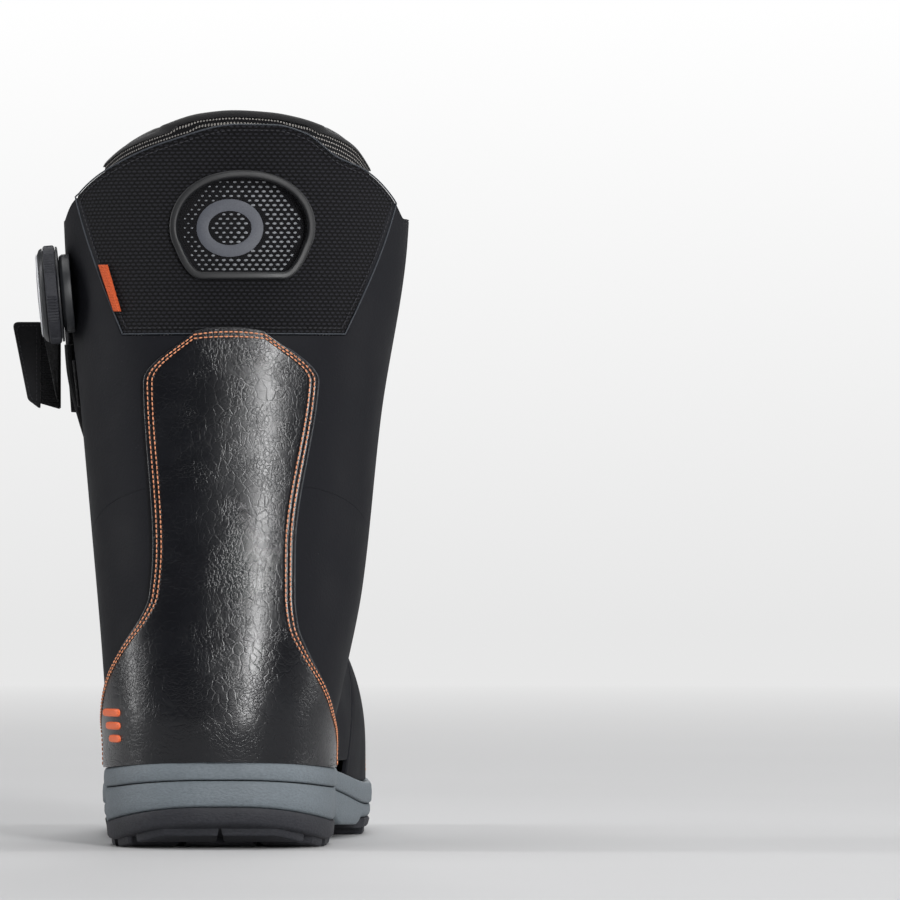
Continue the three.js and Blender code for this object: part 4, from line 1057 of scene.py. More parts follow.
LIGHTS = [  # name, place and target in metres, width and height in metres, power in watts
    ("overhead", (0, 0.2, 2.6), (0, 0.1, 0), (2.2, 2.2), 40),
    ("key", (0.9, -2.85, 0.95), (0, 0, 0.35), (0.4, 1.9), 84),
    ("left_strip", (-2.1, 0.25, 0.9), (0, 0, 0.12), (0.4, 1.9), 24),
    ("right_strip", (2.1, 0.25, 0.9), (0, 0, 0.12), (0.4, 1.9), 22),
    ("front_fill", (0.6, 3.2, 1.6), (0, 0.1, 0.1), (1.6, 1.2), 26),
]
STUDIO_TINT = (0.95, 0.97, 1, 1)
STUDIO_GLOW = 0.1


def build_lights():
    world = bpy.data.worlds.new("studio")
    world.use_nodes = True
    world.node_tree.nodes["Background"].inputs[0].default_value = STUDIO_TINT
    world.node_tree.nodes["Background"].inputs[1].default_value = STUDIO_GLOW
    bpy.context.scene.world = world
    bpy.context.scene.view_settings.view_transform = "Standard"
    for name, place, target, size, power in LIGHTS:
        build_light(name, place, target, size, power)


build_camera()
build_floor()
build_lights()


# ---------------------------------------------------------------- shell panels
def fold_line(distance, at=2.1, width=0.45, depth=0.3):
    """A shallow seam that follows a panel's edge."""
    return -depth * np.exp(-(((distance - at) / width) ** 2))


def build_foot_quarter(side, name):
    def hit(u, v):
        rough = mix(0.35, 150, u)
        low = bottom_edge(side * np.minimum(rough, 100))
        z = mix(low, flex_seam(rough), v)
        return round_leg(side * mix(0.35, QUARTER_FRONT[side](z), u), z)

    panel(
        name + "_skin", hit, 120, 60, 0, -SHELL_WALL, M["matte"], nodes=name, slot="shell_leather",
        rim=0.7, open_sides=HIGH_EDGE_SQUARE,
    )


FLEX_GAP = 0.12  # the cuff part lies on the foot part along the flex seam


def build_cuff_quarter(side, name):
    """The cuff part runs round the mesh panel's lower corner.

    Its inner edge is a path in three straights."""
    low, corner, grow = 0.35, MESH_BOTTOM - 0.7, 0.7

    def hit(u, v):
        first, second = 0.34, 0.6
        start = flex_seam(0) + FLEX_GAP
        rise = np.clip(v / first, 0, 1)
        reach = np.clip((v - first) / (second - first), 0, 1)
        climb = np.clip((v - second) / (1 - second), 0, 1)
        top = top_edge(side * (MESH_HALF_TOP + grow))
        inner_z = mix(mix(start, corner, rise), top, climb)
        lower_angle = mix(low, MESH_HALF_BOTTOM + grow, reach)
        inner_angle = np.where(v < second, lower_angle, mesh_half(inner_z) + grow)
        front_low = flex_seam(150) + FLEX_GAP
        front_z = np.where(
            v < second,
            mix(front_low, corner - 6, v / second),
            mix(corner - 6, top_edge(side * 150), climb),
        )
        z = mix(inner_z, front_z, u)
        top_here = top_edge(side * mix(inner_angle, 150, u))
        z = np.where(v > second, mix(z, mix(mix(inner_z, front_z, u), top_here, climb), climb), z)
        low_here = flex_seam(mix(low, 150, u)) + FLEX_GAP
        z = np.where(v < first, mix(low_here, z, v / first), z)
        return round_leg(side * mix(inner_angle, QUARTER_FRONT[side](z), u), z)

    relief = lambda point, distance, du, dv: fold_line(dv[:, -1:] - dv)
    panel(
        name + "_skin", hit, 110, 90, 0, -SHELL_WALL, M["matte"], nodes=name, slot="shell_leather",
        rim=0.7, relief=relief, open_sides=LOW_EDGE_SQUARE,
    )


def window_outline(grow, count=40):
    """The window's outline seen from behind, anticlockwise, as (x, z) points."""
    half, up, down, foot = 27.5, 19.5, 18.5, 16.0
    centre = np.array([9.0, up_shell(0.859)])
    t = np.linspace(0, 1, count, endpoint=False)[:, None]
    quad = lambda a, b, c: (1 - t) ** 2 * a + 2 * t * (1 - t) * b + t * t * c
    rest = 1 - t
    cubic = lambda a, b, c, d: rest**3 * a + 3 * t * rest**2 * b + 3 * t * t * rest * c + t**3 * d
    at = lambda *p: np.array(p, float)
    low = -down - grow
    right, top = at(half - 3.5 + grow, -8), at(0, up + grow)
    left = at(-half + 3.5 - grow, -8)
    parts = [
        mix(at(-foot, low), at(foot, low), t),
        quad(at(foot, low), at(foot + 5, low), right),
        cubic(right, at(half + 2 + grow, 2), at(half - 4 + grow, up + grow), top),
        cubic(top, at(-half + 4 - grow, up + grow), at(-half - 2 - grow, 2), left),
        quad(left, at(-foot - 5, low), at(-foot, low)),
    ]
    return centre + np.concatenate(parts)


def even(points, count, closed=True):
    """The same path with evenly spaced points."""
    path = np.concatenate([points, points[:1]]) if closed else points
    length = along(path, 0)
    at = np.linspace(0, length[-1], count, endpoint=not closed)
    return np.stack([np.interp(at, length, path[:, i]) for i in range(path.shape[1])], -1)


def angle_of(point):
    """The angle round the leg of surface points."""
    centre, _, y, _ = leg_at(point[..., 2])
    return np.degrees(np.arctan2(point[..., 0] - centre, y - point[..., 1]))


def mesh_border(inset=0.0, per_side=70):
    """The calf panel's border as (angle, height), anticlockwise from the lower outer corner."""
    t = np.linspace(0, 1, per_side, endpoint=False)
    low = MESH_BOTTOM + inset
    slip = inset * 1.1
    bottom = np.stack([mix(-1, 1, t) * (MESH_HALF_BOTTOM - slip), low + 0 * t], -1)
    side_top = top_edge(MESH_HALF_TOP) - inset
    z = mix(low, side_top, t)
    right = np.stack([mesh_half(z) - slip, z], -1)
    angle = mix(1, -1, t) * (mesh_half(side_top) - slip)
    top = np.stack([angle, top_edge(angle) - inset], -1)
    z = mix(top_edge(-MESH_HALF_TOP) - inset, low, t)
    left = np.stack([-mesh_half(z) + slip, z], -1)
    return np.concatenate([bottom, right, top, left])


def build_mesh_panel():
    """A band from the window's edge out to the panel's border, both sides rounded."""
    count, steps = 280, 26
    hole = window_outline(0.1)
    hole_point = from_back(hole[:, 0], hole[:, 1])[0]
    inner = np.stack([angle_of(hole_point), hole_point[:, 2]], -1)
    middle = np.array([9.0 * 0.75, up_shell(0.85)])
    scale = np.array([1.15, 1.0])
    bearing = lambda p: np.arctan2(*((p - middle) * scale).T[::-1])
    at = np.linspace(-np.pi, np.pi, count, endpoint=False)

    def by_bearing(points):
        angle = bearing(points)
        order = np.argsort(angle)
        wrapped = np.concatenate([angle[order] - 2 * np.pi, angle[order], angle[order] + 2 * np.pi])
        values = np.concatenate([points[order]] * 3)
        return np.stack([np.interp(at, wrapped, values[:, i]) for i in range(2)], -1)

    inner, outer = by_bearing(inner), by_bearing(mesh_border())
    share = spaced(steps, 40, 1.0)
    place = mix(inner[None], outer[None], share[:, None, None])
    point, normal = round_leg(place[..., 0], place[..., 1])
    out = along(point, 0)
    distance = np.minimum(out, out[-1:] - out)
    top = -rounding(distance, 0.5) - 0.15
    top = top - 0.25 * np.exp(-(((out[-1:] - out) - 3.0) / 0.5) ** 2)
    low = 0 * top - SHELL_WALL
    rings = np.concatenate([point + normal * top[..., None], (point + normal * low[..., None])[::-1]])
    rings = rings.transpose(1, 0, 2)
    points, faces = ring_body(rings, True)
    flat = np.stack([place[..., 0] * 1.15, place[..., 1]], -1)
    flat = np.concatenate([flat, flat[::-1]]).transpose(1, 0, 2).reshape(-1, 2)
    make("calf_mesh_panel_knit", points, faces, M["knit"], "shell", "calf_mesh_panel", flat)

    border = round_leg(*mesh_border(-0.1).T)
    rim = even(border[0] + border[1] * 0.15, 700)
    tube("mesh_panel_raw_edge", rim, 0.32, 8, M["edge_grey"], "shell", closed=True)
    sewn = round_leg(*mesh_border(2.2).T)
    stitches("mesh_panel_stitching", even(sewn[0], 900), even(sewn[1], 900), M["dark_thread"], 2.2)


WINDOW_FLATNESS = 12  # how late the mesh behind the window rises to its frame
MARK_X = 3.8
MARK_Z = up_shell(0.859)
MARK_HALF = 11.6  # the printed ring's half width, to the middle of its line
MARK_FLATNESS = 0.8  # its height as a share of its width


WINDOW_DEPTH = -6.2  # how far the mesh behind the window is set back
WINDOW_RISE = 5.0  # how far it comes forward again at its border
DOT_ACROSS = 3.05
DOT_UP = 1.85
DOT_SIZE = np.array([0.95, 0.56, 0.16])
DOT_STEPS = [(0.5, 0.68), (0.68, 0.86), (0.86, 1.01)]  # dots grow toward the window's lower right


def build_gasket():
    """A rounded frame round the window."""
    outline = even(window_outline(1.45), 260)
    point, normal = from_back(*outline.T)
    tangent = unit(np.roll(point, -1, 0) - np.roll(point, 1, 0))
    across = unit(np.cross(normal, tangent))
    outside = np.sign(np.einsum("ij,ij->i", across, point - point.mean(0)))[:, None]
    section = rounded([(-1.55, 0.4), (-1.55, 2.7), (1.55, 2.9), (1.55, 0.4)], [0.2, 1.2, 1.1, 0.2], 6)
    rings = swept(point, across * outside, normal, section)
    points, faces = ring_body(rings, True)
    length = along(point, 0)
    flat = np.stack(np.meshgrid(length, np.arange(len(section)) * 0.5, indexing="ij"), -1)
    flat = flat.reshape(-1, 2)
    material = M["gasket"]
    make("window_gasket_frame", points, faces, material, "shell", "window_gasket", flat)
    return outline.mean(0)


def build_backing(middle, border):
    """The mesh behind the window, flat in the middle and brought forward at its border."""
    share = np.array([0, 0.25, 0.5, 0.7, 0.8, 0.86, 0.91, 0.95, 0.98, 1.0])
    at = middle + (border[None] - middle) * share[:, None, None]
    point, normal = from_back(at[..., 0], at[..., 1])
    sag = WINDOW_DEPTH + WINDOW_RISE * share[:, None] ** WINDOW_FLATNESS
    front = point + normal * sag[..., None]
    rings = np.concatenate([front, (front - normal * 0.6)[::-1]]).transpose(1, 0, 2)
    points, faces = ring_body(rings, True)
    flat = np.concatenate([at, at[::-1]]).transpose(1, 0, 2).reshape(-1, 2)
    make("window_backing", points, faces, M["window"], "shell", (), flat)


def build_dots(middle, border):
    """Rows of pale dots on the backing, left out under the printed ring."""
    places = np.arange(-10, 11)
    row, column = np.meshgrid(places, places, indexing="ij")
    x = 9.0 + (column + 0.5 * (row % 2)) * DOT_ACROSS
    z = up_shell(0.859) + row * DOT_UP
    spread = border - middle
    bearing = np.arctan2(spread[:, 1], spread[:, 0])
    limit = np.interp(
        np.arctan2(z - middle[1], x - middle[0]),
        np.sort(bearing),
        np.hypot(*spread.T)[np.argsort(bearing)],
    )
    out_by = np.hypot(x - middle[0], z - middle[1]) / limit
    ring_place = np.hypot((x - MARK_X) / MARK_HALF, (z - MARK_Z) / (MARK_FLATNESS * MARK_HALF))
    keep = (out_by < 0.89) & (np.abs(ring_place - 1) > 0.3)
    x, z, out_by = x[keep], z[keep], out_by[keep]
    point, normal = from_back(x, z)
    reach = 0.62 + 0.38 * smooth(x - 0.55 * (z - up_shell(0.86)), -16, 22)
    across = np.tile([1.0, 0.0, 0.0], (len(x), 1))
    for step, (low, high) in enumerate(DOT_STEPS):
        some = (reach >= low) & (reach < high)
        if some.any():
            size = DOT_SIZE * (low + high) / 2
            rise = WINDOW_DEPTH + 0.08 + WINDOW_RISE * out_by[some] ** WINDOW_FLATNESS
            places = point[some] + normal[some] * rise[:, None]
            name = f"window_dots_{step}"
            beads(name, places, across[some], normal[some], size, M["dot_light"], "shell")


def build_window_print():
    """A plain ring printed on the mesh, a little in from the middle."""
    turn = np.linspace(0, 2 * np.pi, 80, endpoint=False)
    x = MARK_X + MARK_HALF * np.cos(turn)
    z = MARK_Z + MARK_FLATNESS * MARK_HALF * np.sin(turn)
    point, normal = from_back(x, z)
    path = point + normal * (WINDOW_DEPTH + 0.1)
    side = unit(np.cross(normal, unit(np.roll(path, -1, 0) - np.roll(path, 1, 0))))
    section = rounded([(-2.4, -0.1), (-2.4, 0.15), (2.4, 0.15), (2.4, -0.1)], [0.1] * 4, 3)
    points, faces = ring_body(swept(path, side, normal, section), True)
    make("window_print", points, faces, M["grey_print"], "shell", ())


def build_window():
    middle = build_gasket()
    border = even(window_outline(2.6), 200)
    build_backing(middle, border)
    build_dots(middle, border)
    build_window_print()


# ---------------------------------------------------------------- backstay
BACKSTAY_LATERAL = profile(
    [
        (up_shell(height), angle)
        for height, angle in [
            (0.1, 95), (0.16, 88), (0.196, 70), (0.23, 58), (0.271, 44), (0.313, 33), (0.344, 29),
            (0.412, 27.5), (0.643, 30.5), (0.714, 13),
        ]
    ]
)
BACKSTAY_MEDIAL = profile(
    [
        (up_shell(height), angle)
        for height, angle in [
            (0.1, 88), (0.137, 82), (0.158, 71), (0.186, 55), (0.223, 42.4), (0.261, 31.7),
            (0.302, 25), (0.344, 23), (0.412, 22.5), (0.643, 29.5), (0.714, 10),
        ]
    ]
)
BACKSTAY_TOP = up_shell(0.714)


def backstay_hit(u, v):
    share = v**1.35
    z = mix(rim_top(np.array(HEEL_WIDEST)) + 1, BACKSTAY_TOP, share)
    angle = mix(-BACKSTAY_LATERAL(z), BACKSTAY_MEDIAL(z), u)
    top = BACKSTAY_TOP + 1.6 * (1 - (2 * u - 1) ** 2) * smooth(share, 0.9, 1)
    return round_leg(angle, mix(bottom_edge(angle) - 0.55, top, share))


# Cells across and up in millimetres, slant and strength of each set of folds.
FOLD_SETS = [
    (11, 7, 0.8, 0.75), (7, 5, -0.6, 0.7), (4.2, 3.0, 1.0, 0.6), (2.6, 2.0, -0.8, 0.5), (1.5, 1.2, 0.5, 0.3)
]


def creases(point):
    """Shallow folds of worn leather: a net of fine lines that slant, in patches."""
    x, z = point[..., 0], point[..., 2]
    low = 1 - smooth(z, 60, 140)
    depth = 0 * x
    for seed, (across, up, slant, strength) in enumerate(FOLD_SETS):
        warp_x = x + 2.2 * across * noise(x / (2.1 * across), z / (2.3 * across), 40 + seed)
        warp_z = z + 2.2 * up * noise(x / (2 * up), z / (2.2 * up), 60 + seed)
        value = noise((warp_x + slant * warp_z) / across, (warp_z - 0.3 * slant * warp_x) / up, 20 + seed)
        ridge = np.exp(-((np.abs(value - 0.5) / 0.035) ** 1.2))
        patch = smooth(noise(x / 15, z / 17, 80 + seed), 0.35, 0.7)
        depth = depth - strength * ridge * patch
    swell = noise(x / 19, z / 24, 7) - 0.5
    return depth * mix(0.03, 0.06, low) + 0.2 * swell


STITCH_ROWS = (2.3, 4.2)  # how far in from the backstay's edge its two rows of thread lie
GROOVE_WIDTH = 0.5
GROOVE_DEPTH = 0.22


def build_backstay():
    def relief(point, distance, du, dv):
        calm = smooth(distance, 2.5, 8)
        sewn = np.minimum(np.minimum(du, du[-1:] - du), dv[:, -1:] - dv)
        rows = sum(fold_line(sewn, inset, GROOVE_WIDTH, GROOVE_DEPTH) for inset in STITCH_ROWS)
        return creases(point) * calm + rows

    low = OVERLAY_GAP
    panel(
        "backstay_leather", backstay_hit, 300, 380, low + OVERLAY_WALL, low, M["leather"],
        nodes="backstay", slot="gloss_leather", rim=0.8, relief=relief, open_sides=LOW_EDGE_SQUARE,
    )
    for row, inset in enumerate(STITCH_ROWS):
        build_backstay_row(f"backstay_stitching_{row}", inset)

    # The raw edge shows as a thin grey line up the inner side.
    v = np.linspace(0.3, 0.97, 240)
    point, normal = backstay_hit(1 + 0 * v, v)
    tube("backstay_raw_edge", point + normal * 2.05, 0.3, 8, M["edge_grey"], "shell")


def build_backstay_row(name, inset):
    """Stitches up the backstay's sides and over its top, set in by a distance on the surface."""
    u, v = np.meshgrid(np.linspace(0, 1, 61), np.linspace(0, 1, 121), indexing="ij")
    point, normal = backstay_hit(u, v)
    wide = along(point, 0)[-1]
    tall = along(point, 1)[:, -1]
    v_low = 0.012
    rows = np.linspace(v_low, 1 - inset / tall.mean() * 0.75, 400)
    width_at = np.interp(rows, np.linspace(0, 1, 121), wide)
    left_u, right_u = inset / width_at, 1 - inset / width_at
    across = np.linspace(0, 1, 120)
    top_u = mix(left_u[-1], right_u[-1], across)
    path_u = np.concatenate([left_u, top_u, right_u[::-1]])
    path_v = np.concatenate([rows, rows[-1] + 0 * across, rows[::-1]])
    point, normal = backstay_hit(path_u, path_v)
    stitches(name, point, normal, M["copper"], 2.0, (0.82, 0.31, 0.28), lift_by=3.12)


def build_marks():
    """Generic marks: a folded label at the mesh panel's border and three raised bars on the backstay."""
    def label(u, v):
        return round_leg(-mix(48.4, 42.2, v) + mix(3.5, 2.6, v) * u, up_shell(mix(0.807, 0.742, v)))

    panel(
        "side_label_fold", label, 10, 40, 2.0, 0.6, M["orange"], nodes="side_label",
        slot="orange_fabric", rim=0.5,
    )
    for index, (x, z, half) in enumerate([(-40.8, 54.6, 3.4), (-40.1, 49.4, 2.8), (-39.4, 44.2, 2.2)]):
        corners = [(-half, -1.6), (half, -1.6), (half, 1.6), (-half, 1.6)]
        ring = even(rounded(corners, [1.3] * 4, 6), 72) + [x, z]
        shares = np.array([1.0, 0.94, 0.8, 0.5, 0.0001])
        at = np.array([x, z]) + (ring[None] - [x, z]) * shares[:, None, None]
        point, normal = from_back(at[..., 0], at[..., 1])
        rise = np.array([2.6, 3.45, 3.75, 3.8, 3.8])[:, None, None]
        rings = np.concatenate([point + normal * rise, (point + normal * 2.4)[::-1]]).transpose(1, 0, 2)
        points, faces = ring_body(rings, True)
        make(f"backstay_mark_{index}", points, faces, M["orange_rubber"], "shell", ())


def build_shell():
    for side, word in ((-1, "lateral"), (1, "medial")):
        build_foot_quarter(side, f"{word}_foot_quarter")
        build_cuff_quarter(side, f"{word}_cuff_quarter")
    build_mesh_panel()
    build_window()
    build_backstay()
    build_marks()


# ---------------------------------------------------------------- sole
def cosine_places(low, high, count):
    return mix(low, high, (1 - np.cos(np.linspace(0, np.pi, count))) / 2)


def find_sole_sides(count=200):
    """The sole's outer and inner outlines from heel to toe, evenly spaced, with outward normals."""
    ys = cosine_places(SOLE_BACK, SOLE_FRONT, 600)
    left, right = sole_edges(ys)
    loop = np.concatenate([np.stack([left, ys], -1), np.stack([right, ys], -1)[::-1]])
    start = (loop[0] + loop[-1]) / 2
    loop = even(np.concatenate([[start], loop]), 4 * count)
    for _ in range(12):
        loop = (np.roll(loop, 1, 0) + 2 * loop + np.roll(loop, -1, 0)) / 4
    around = np.roll(loop, -1, 0) - np.roll(loop, 1, 0)
    normal = unit(np.stack([-around[:, 1], around[:, 0]], -1))
    half = 2 * count
    pick = np.arange(1, half, 2)
    return loop[pick], normal[pick], loop[-pick], normal[-pick]


SOLE_SIDES = find_sole_sides()


def sole_loop(part, outset):
    """The outline of the sole between two y places, moved out by outset."""
    low, high = part
    left, left_out, right, right_out = SOLE_SIDES
    keep = ((left[:, 1] + right[:, 1]) / 2 >= low) & ((left[:, 1] + right[:, 1]) / 2 <= high)
    outer, inner = left[keep] + left_out[keep] * outset, right[keep] + right_out[keep] * outset
    if low > SOLE_BACK:
        outer[0, 1] = inner[0, 1] = low
    if high < SOLE_FRONT:
        outer[-1, 1] = inner[-1, 1] = high
    return np.concatenate([outer, inner[::-1]])


def sole_rings(part, sections):
    """Rings of points round the sole for sections (outset, height at y)."""
    rings = []
    for outset, height in sections:
        loop = sole_loop(part, outset)
        rings.append(np.concatenate([loop, height(loop[:, 1])[:, None]], -1))
    return np.stack(rings)


def sole_plate(name, part, sections, material, nodes, extra=()):
    """A plate whose wall follows the sections from its underside up, closed across at both ends."""
    rings = sole_rings(part, sections)
    count, sides = rings.shape[:2]
    walls = grid_faces(count, sides, ring=True)
    j = np.arange(sides // 2 - 1)
    ladder = np.stack([j, j + 1, sides - 2 - j, sides - 1 - j], -1)
    points = rings.reshape(-1, 3)
    faces = facing_out(points, np.concatenate([walls, ladder[:, ::-1], ladder + (count - 1) * sides]))
    length = np.concatenate([along(rings[0], 0)] * count)
    flat = np.stack([length, np.repeat(np.arange(count) * 1.0, sides)], -1)
    for more_points, more_faces in extra:
        faces = np.concatenate([faces, more_faces + len(points)])
        points = np.concatenate([points, more_points])
        flat = np.concatenate([flat, more_points[:, :2]])
    return make(name, points, faces, material, "shell", nodes, flat, 40)


def above(height, by):
    return lambda y: height(y) + by


def between(low, high, share, by=0.0):
    return lambda y: mix(low(y), high(y), share) + by


def lug(middle, left_share, right_share):
    """One tread block across the sole, narrower at its foot."""
    ys = middle + LUG_LENGTH / 2 * np.array([-1, -0.93, -0.5, 0, 0.5, 0.93, 1])
    left, right = sole_edges(ys, 3.5)
    low, high = mix(left, right, left_share), mix(left, right, right_share)
    bottom = sole_bottom(ys)
    rings = []
    for trim, rise in ((1.1, 0.0), (0.4, 0.25), (0.1, 0.9), (-0.3, TREAD_DEPTH + 0.4)):
        y = middle + (ys - middle) * (1 - trim / (LUG_LENGTH / 2))
        a = np.stack([low + trim, y, bottom + rise], -1)
        b = np.stack([high - trim, y, bottom + rise], -1)
        rings.append(np.concatenate([a, b[::-1]]))
    rings = np.stack(rings)
    count, sides = rings.shape[:2]
    j = np.arange(sides // 2 - 1)
    ladder = np.stack([j, j + 1, sides - 2 - j, sides - 1 - j], -1)
    points = rings.reshape(-1, 3)
    faces = np.concatenate(
        [grid_faces(count, sides, ring=True), ladder[:, ::-1], ladder + (count - 1) * sides]
    )
    return points, facing_out(points, faces)


def lugs(low, high):
    """Cross bars at the lug pitch, split by grooves that step from row to row."""
    blocks = []
    first, last = math.ceil((low + LUG_LENGTH) / LUG_PITCH), math.floor((high - LUG_LENGTH) / LUG_PITCH)
    for i in range(first, last + 1):
        cuts = (0, 0.3, 0.7, 1) if i % 2 else (0, 0.5, 1)
        for a, b in zip(cuts, cuts[1:]):
            gap = 0.018
            blocks.append(lug(i * LUG_PITCH, a + gap * (a > 0), b - gap * (b < 1)))
    return blocks


WHOLE_SOLE = (SOLE_BACK - 1, SOLE_FRONT + 1)


def build_outsole():
    """The heel and forefoot treads, which stop either side of the arch."""
    arch_ends = [
        SOLE_BACK + (1 - math.cos(t * math.pi / 28)) / 2 * (SOLE_FRONT - SOLE_BACK) for t in range(29)
    ]
    near = lambda y: min(arch_ends, key=lambda s: abs(s - y))
    arch_back, arch_front = near(along_foot(0.35)), near(along_foot(0.56))
    base = lambda by: (lambda y: sole_bottom(y) + TREAD_DEPTH + by)
    wall = [
        (-3.4, base(0)),
        (-2.3, base(0.35)),
        (-1.7, base(1.2)),
        (-1.35, between(sole_bottom, outsole_top, 0.6, 1.2)),
        (-1.2, above(outsole_top, -1.3)),
        (-1.5, above(outsole_top, -0.6)),
        (-2.6, above(outsole_top, -0.35)),
    ]
    parts = [
        ("outsole_heel", SOLE_BACK, arch_back),
        ("outsole_forefoot", arch_front, SOLE_FRONT),
    ]
    for name, low, high in parts:
        blocks = lugs(low, high)
        sole_plate(name + "_tread", (low, high), wall, M["tread"], name, blocks)


def build_midsole():
    foot = lambda y: outsole_top(y) - 3 * arch(y)
    sole_plate(
        "midsole_body",
        WHOLE_SOLE,
        [
            (-3.0, above(foot, -0.1)),
            (-1.9, above(foot, 0.1)),
            (-1.2, above(foot, 0.9)),
            (-0.9, between(foot, groove, 0.35)),
            (-0.9, between(foot, groove, 0.7)),
            (-0.95, above(groove, -1.0)),
            (-1.3, above(groove, -0.45)),
            (-2.6, above(groove, -0.25)),
        ],
        M["sole"],
        "midsole",
    )


def build_rim():
    """The band over the midsole, with a thin groove between the two."""
    section = [
        (-3.9, above(groove, 0.1)),
        (-1.1, above(groove, 0.1)),
        (-0.6, above(groove, 0.35)),
        (-0.3, above(groove, 0.9)),
        (-0.15, between(groove, rim_top, 0.5)),
        (-0.35, above(rim_top, -1.5)),
        (-0.9, above(rim_top, -0.5)),
        (-1.7, above(rim_top, -0.05)),
        (-2.7, above(rim_top, -0.1)),
        (-3.7, above(rim_top, -0.5)),
    ]
    rings = sole_rings(WHOLE_SOLE, section).transpose(1, 0, 2)
    points, faces = ring_body(rings, True)
    flat = np.stack(np.meshgrid(along(rings[:, 4], 0), np.arange(len(section)) * 1.0, indexing="ij"), -1)
    make(
        "sole_rim_band", points, faces, M["sole"], "shell", "sole_rim",
        flat.reshape(-1, 2), 60,
    )


def build_sole():
    build_outsole()
    build_midsole()
    build_rim()


# ---------------------------------------------------------------- dial
DIAL_AXIS = -np.array([math.cos(math.radians(DIAL_TILT)), 0, math.sin(math.radians(DIAL_TILT))])
DIAL_UP = np.array([-math.sin(math.radians(DIAL_TILT)), 0, math.cos(math.radians(DIAL_TILT))])
DIAL_OUT = 2.0
DIAL_ORIGIN = cast(np.array([0, DIAL_Y, DIAL_HEIGHT]), np.array([-1.0, 0, 0]))[0] + DIAL_AXIS * DIAL_OUT


def on_dial(forward_by, up_by, out_by):
    """Points ahead of the dial's axis, above it and out along it."""
    forward_by, up_by, out_by = np.broadcast_arrays(forward_by, up_by, out_by)
    ahead = np.array([0, 1.0, 0])
    outward = out_by[..., None] * DIAL_AXIS
    upward = up_by[..., None] * DIAL_UP
    return DIAL_ORIGIN + outward + upward + forward_by[..., None] * ahead


GRIPS = 6


def knurl(turn, height, radius):
    """Teeth on six stretches of the grip's rim, with smooth stretches between."""
    part = (turn * GRIPS / (2 * np.pi)) % 1
    on = smooth(part, 0.02, 0.06) * (1 - smooth(part, 0.56, 0.6))
    tooth = 0.5 - 0.5 * np.cos(turn * 96)
    outer = (radius > DIAL_RADIUS - 1.2) * smooth(height, 3.4, 4.0) * (1 - smooth(height, 7.4, 8.0))
    return outer * on * (0.55 * tooth - 0.1)


def build_dial():
    r = DIAL_RADIUS
    ring = lambda name, corners, radii, sides, key, body, nodes, slot, reach=None: lathe(
        name, rounded(corners, radii, 4), sides, on_dial, M[key], body, nodes, reach
    )
    ring(
        "dial_base_plate",
        [
            (r - 8.4, -2.5), (r - 4, -2.5), (r - 4, 0.6), (r - 4.8, 1.9), (r - 6.4, 1.9),
            (r - 6.4, 6.6), (r - 8.4, 6.6),
        ],
        [0, 0.4, 0.8, 0.8, 0.3, 0.4, 0.4],
        120,
        "plastic",
        "shell",
        "dial_base",
        "plastic",
    )
    knob = [
        (r - 5.8, 2.2), (r - 0.6, 2.2), (r - 0.6, 3), (r - 1.9, 3), (r - 1.9, 8.4), (r - 0.6, 8.4),
        (r - 1.6, 9.8), (r - 4, 10.8), (r - 6.6, 11.2), (r - 7, 10.4), (4.9, 10.4), (4.9, 9.1),
        (2.4, 9.1), (2.4, 7.8), (r - 5.8, 7.8),
    ]
    ring(
        "dial_knob_body", knob,
        [0.3, 0.3, 0.2, 0, 0, 0.3, 0.6, 1, 0.8, 0.3, 0.3, 0.2, 0.2, 0.2, 0.2], 144, "plastic",
        "knob", "dial_knob", "plastic",
    )
    grip = [(r - 1.6, 3.3), (r - 0.4, 3.3), (r - 0.4, 8.1), (r - 1.6, 8.1)]
    lathe(
        "dial_grip_ring", even(rounded(grip, [0.2, 0.5, 0.5, 0.2], 5), 40), 768, on_dial,
        M["tread"], "knob", "dial_grip", knurl,
    )
    cap = [(0.001, 10.7), (r - 7.4, 10.7), (r - 7.4, 11.2), (r - 11, 11.5), (0.001, 11.7)]
    ring("dial_cap_disc", cap, [0, 0.2, 0.25, 2, 0], 120, "steel", "knob", "dial_cap", "steel")
    edge = [(r - 4.6, 10.5), (r - 3.4, 10.4), (r - 3.0, 10.9), (r - 4.4, 11.25)]
    ring("dial_edge_ring", edge, [0.2] * 4, 144, "silver", "knob", (), "steel")


# ---------------------------------------------------------------- strap
STRAP_MEDIAL = 138.0
STRAP_LATERAL = 243.0
STRAP_LOW = STRAP_HEIGHT - STRAP_WIDTH / 2
STRAP_HIGH = STRAP_HEIGHT + STRAP_WIDTH / 2
HINGE_ROOM = 3.6


def strap_hit(start, end, low, high):
    return lambda u, v: round_leg(mix(start, end, u), mix(low, high, v))


def plate(name, outline, near, far, material, body, nodes, rim=0.35):
    """A flat piece: an outline of (x, z) points between two y planes, with rounded rims."""
    outline = np.array(outline, float)
    around = np.roll(outline, -1, 0) - np.roll(outline, 1, 0)
    normal = unit(np.stack([around[:, 1], -around[:, 0]], -1))
    turn = np.linspace(0, np.pi / 2, 4)
    insets = np.concatenate([rim * (1 - np.sin(turn)), rim * (1 - np.cos(turn))])
    ys = np.concatenate([near + rim * (1 - np.cos(turn)), far - rim * (1 - np.sin(turn))])
    inward = np.sign(np.einsum("ij,ij->i", normal, outline.mean(0) - outline).mean())
    rings = [np.insert(outline + normal * inward * inset, 1, y, axis=1) for inset, y in zip(insets, ys)]
    points, faces = ring_body(np.stack(rings), False)
    flat = points[:, [0, 2]]
    return make(name, points, faces, material, body, nodes, flat)


STRAP_TOP = STRAP_STANDOFF + STRAP_WALL


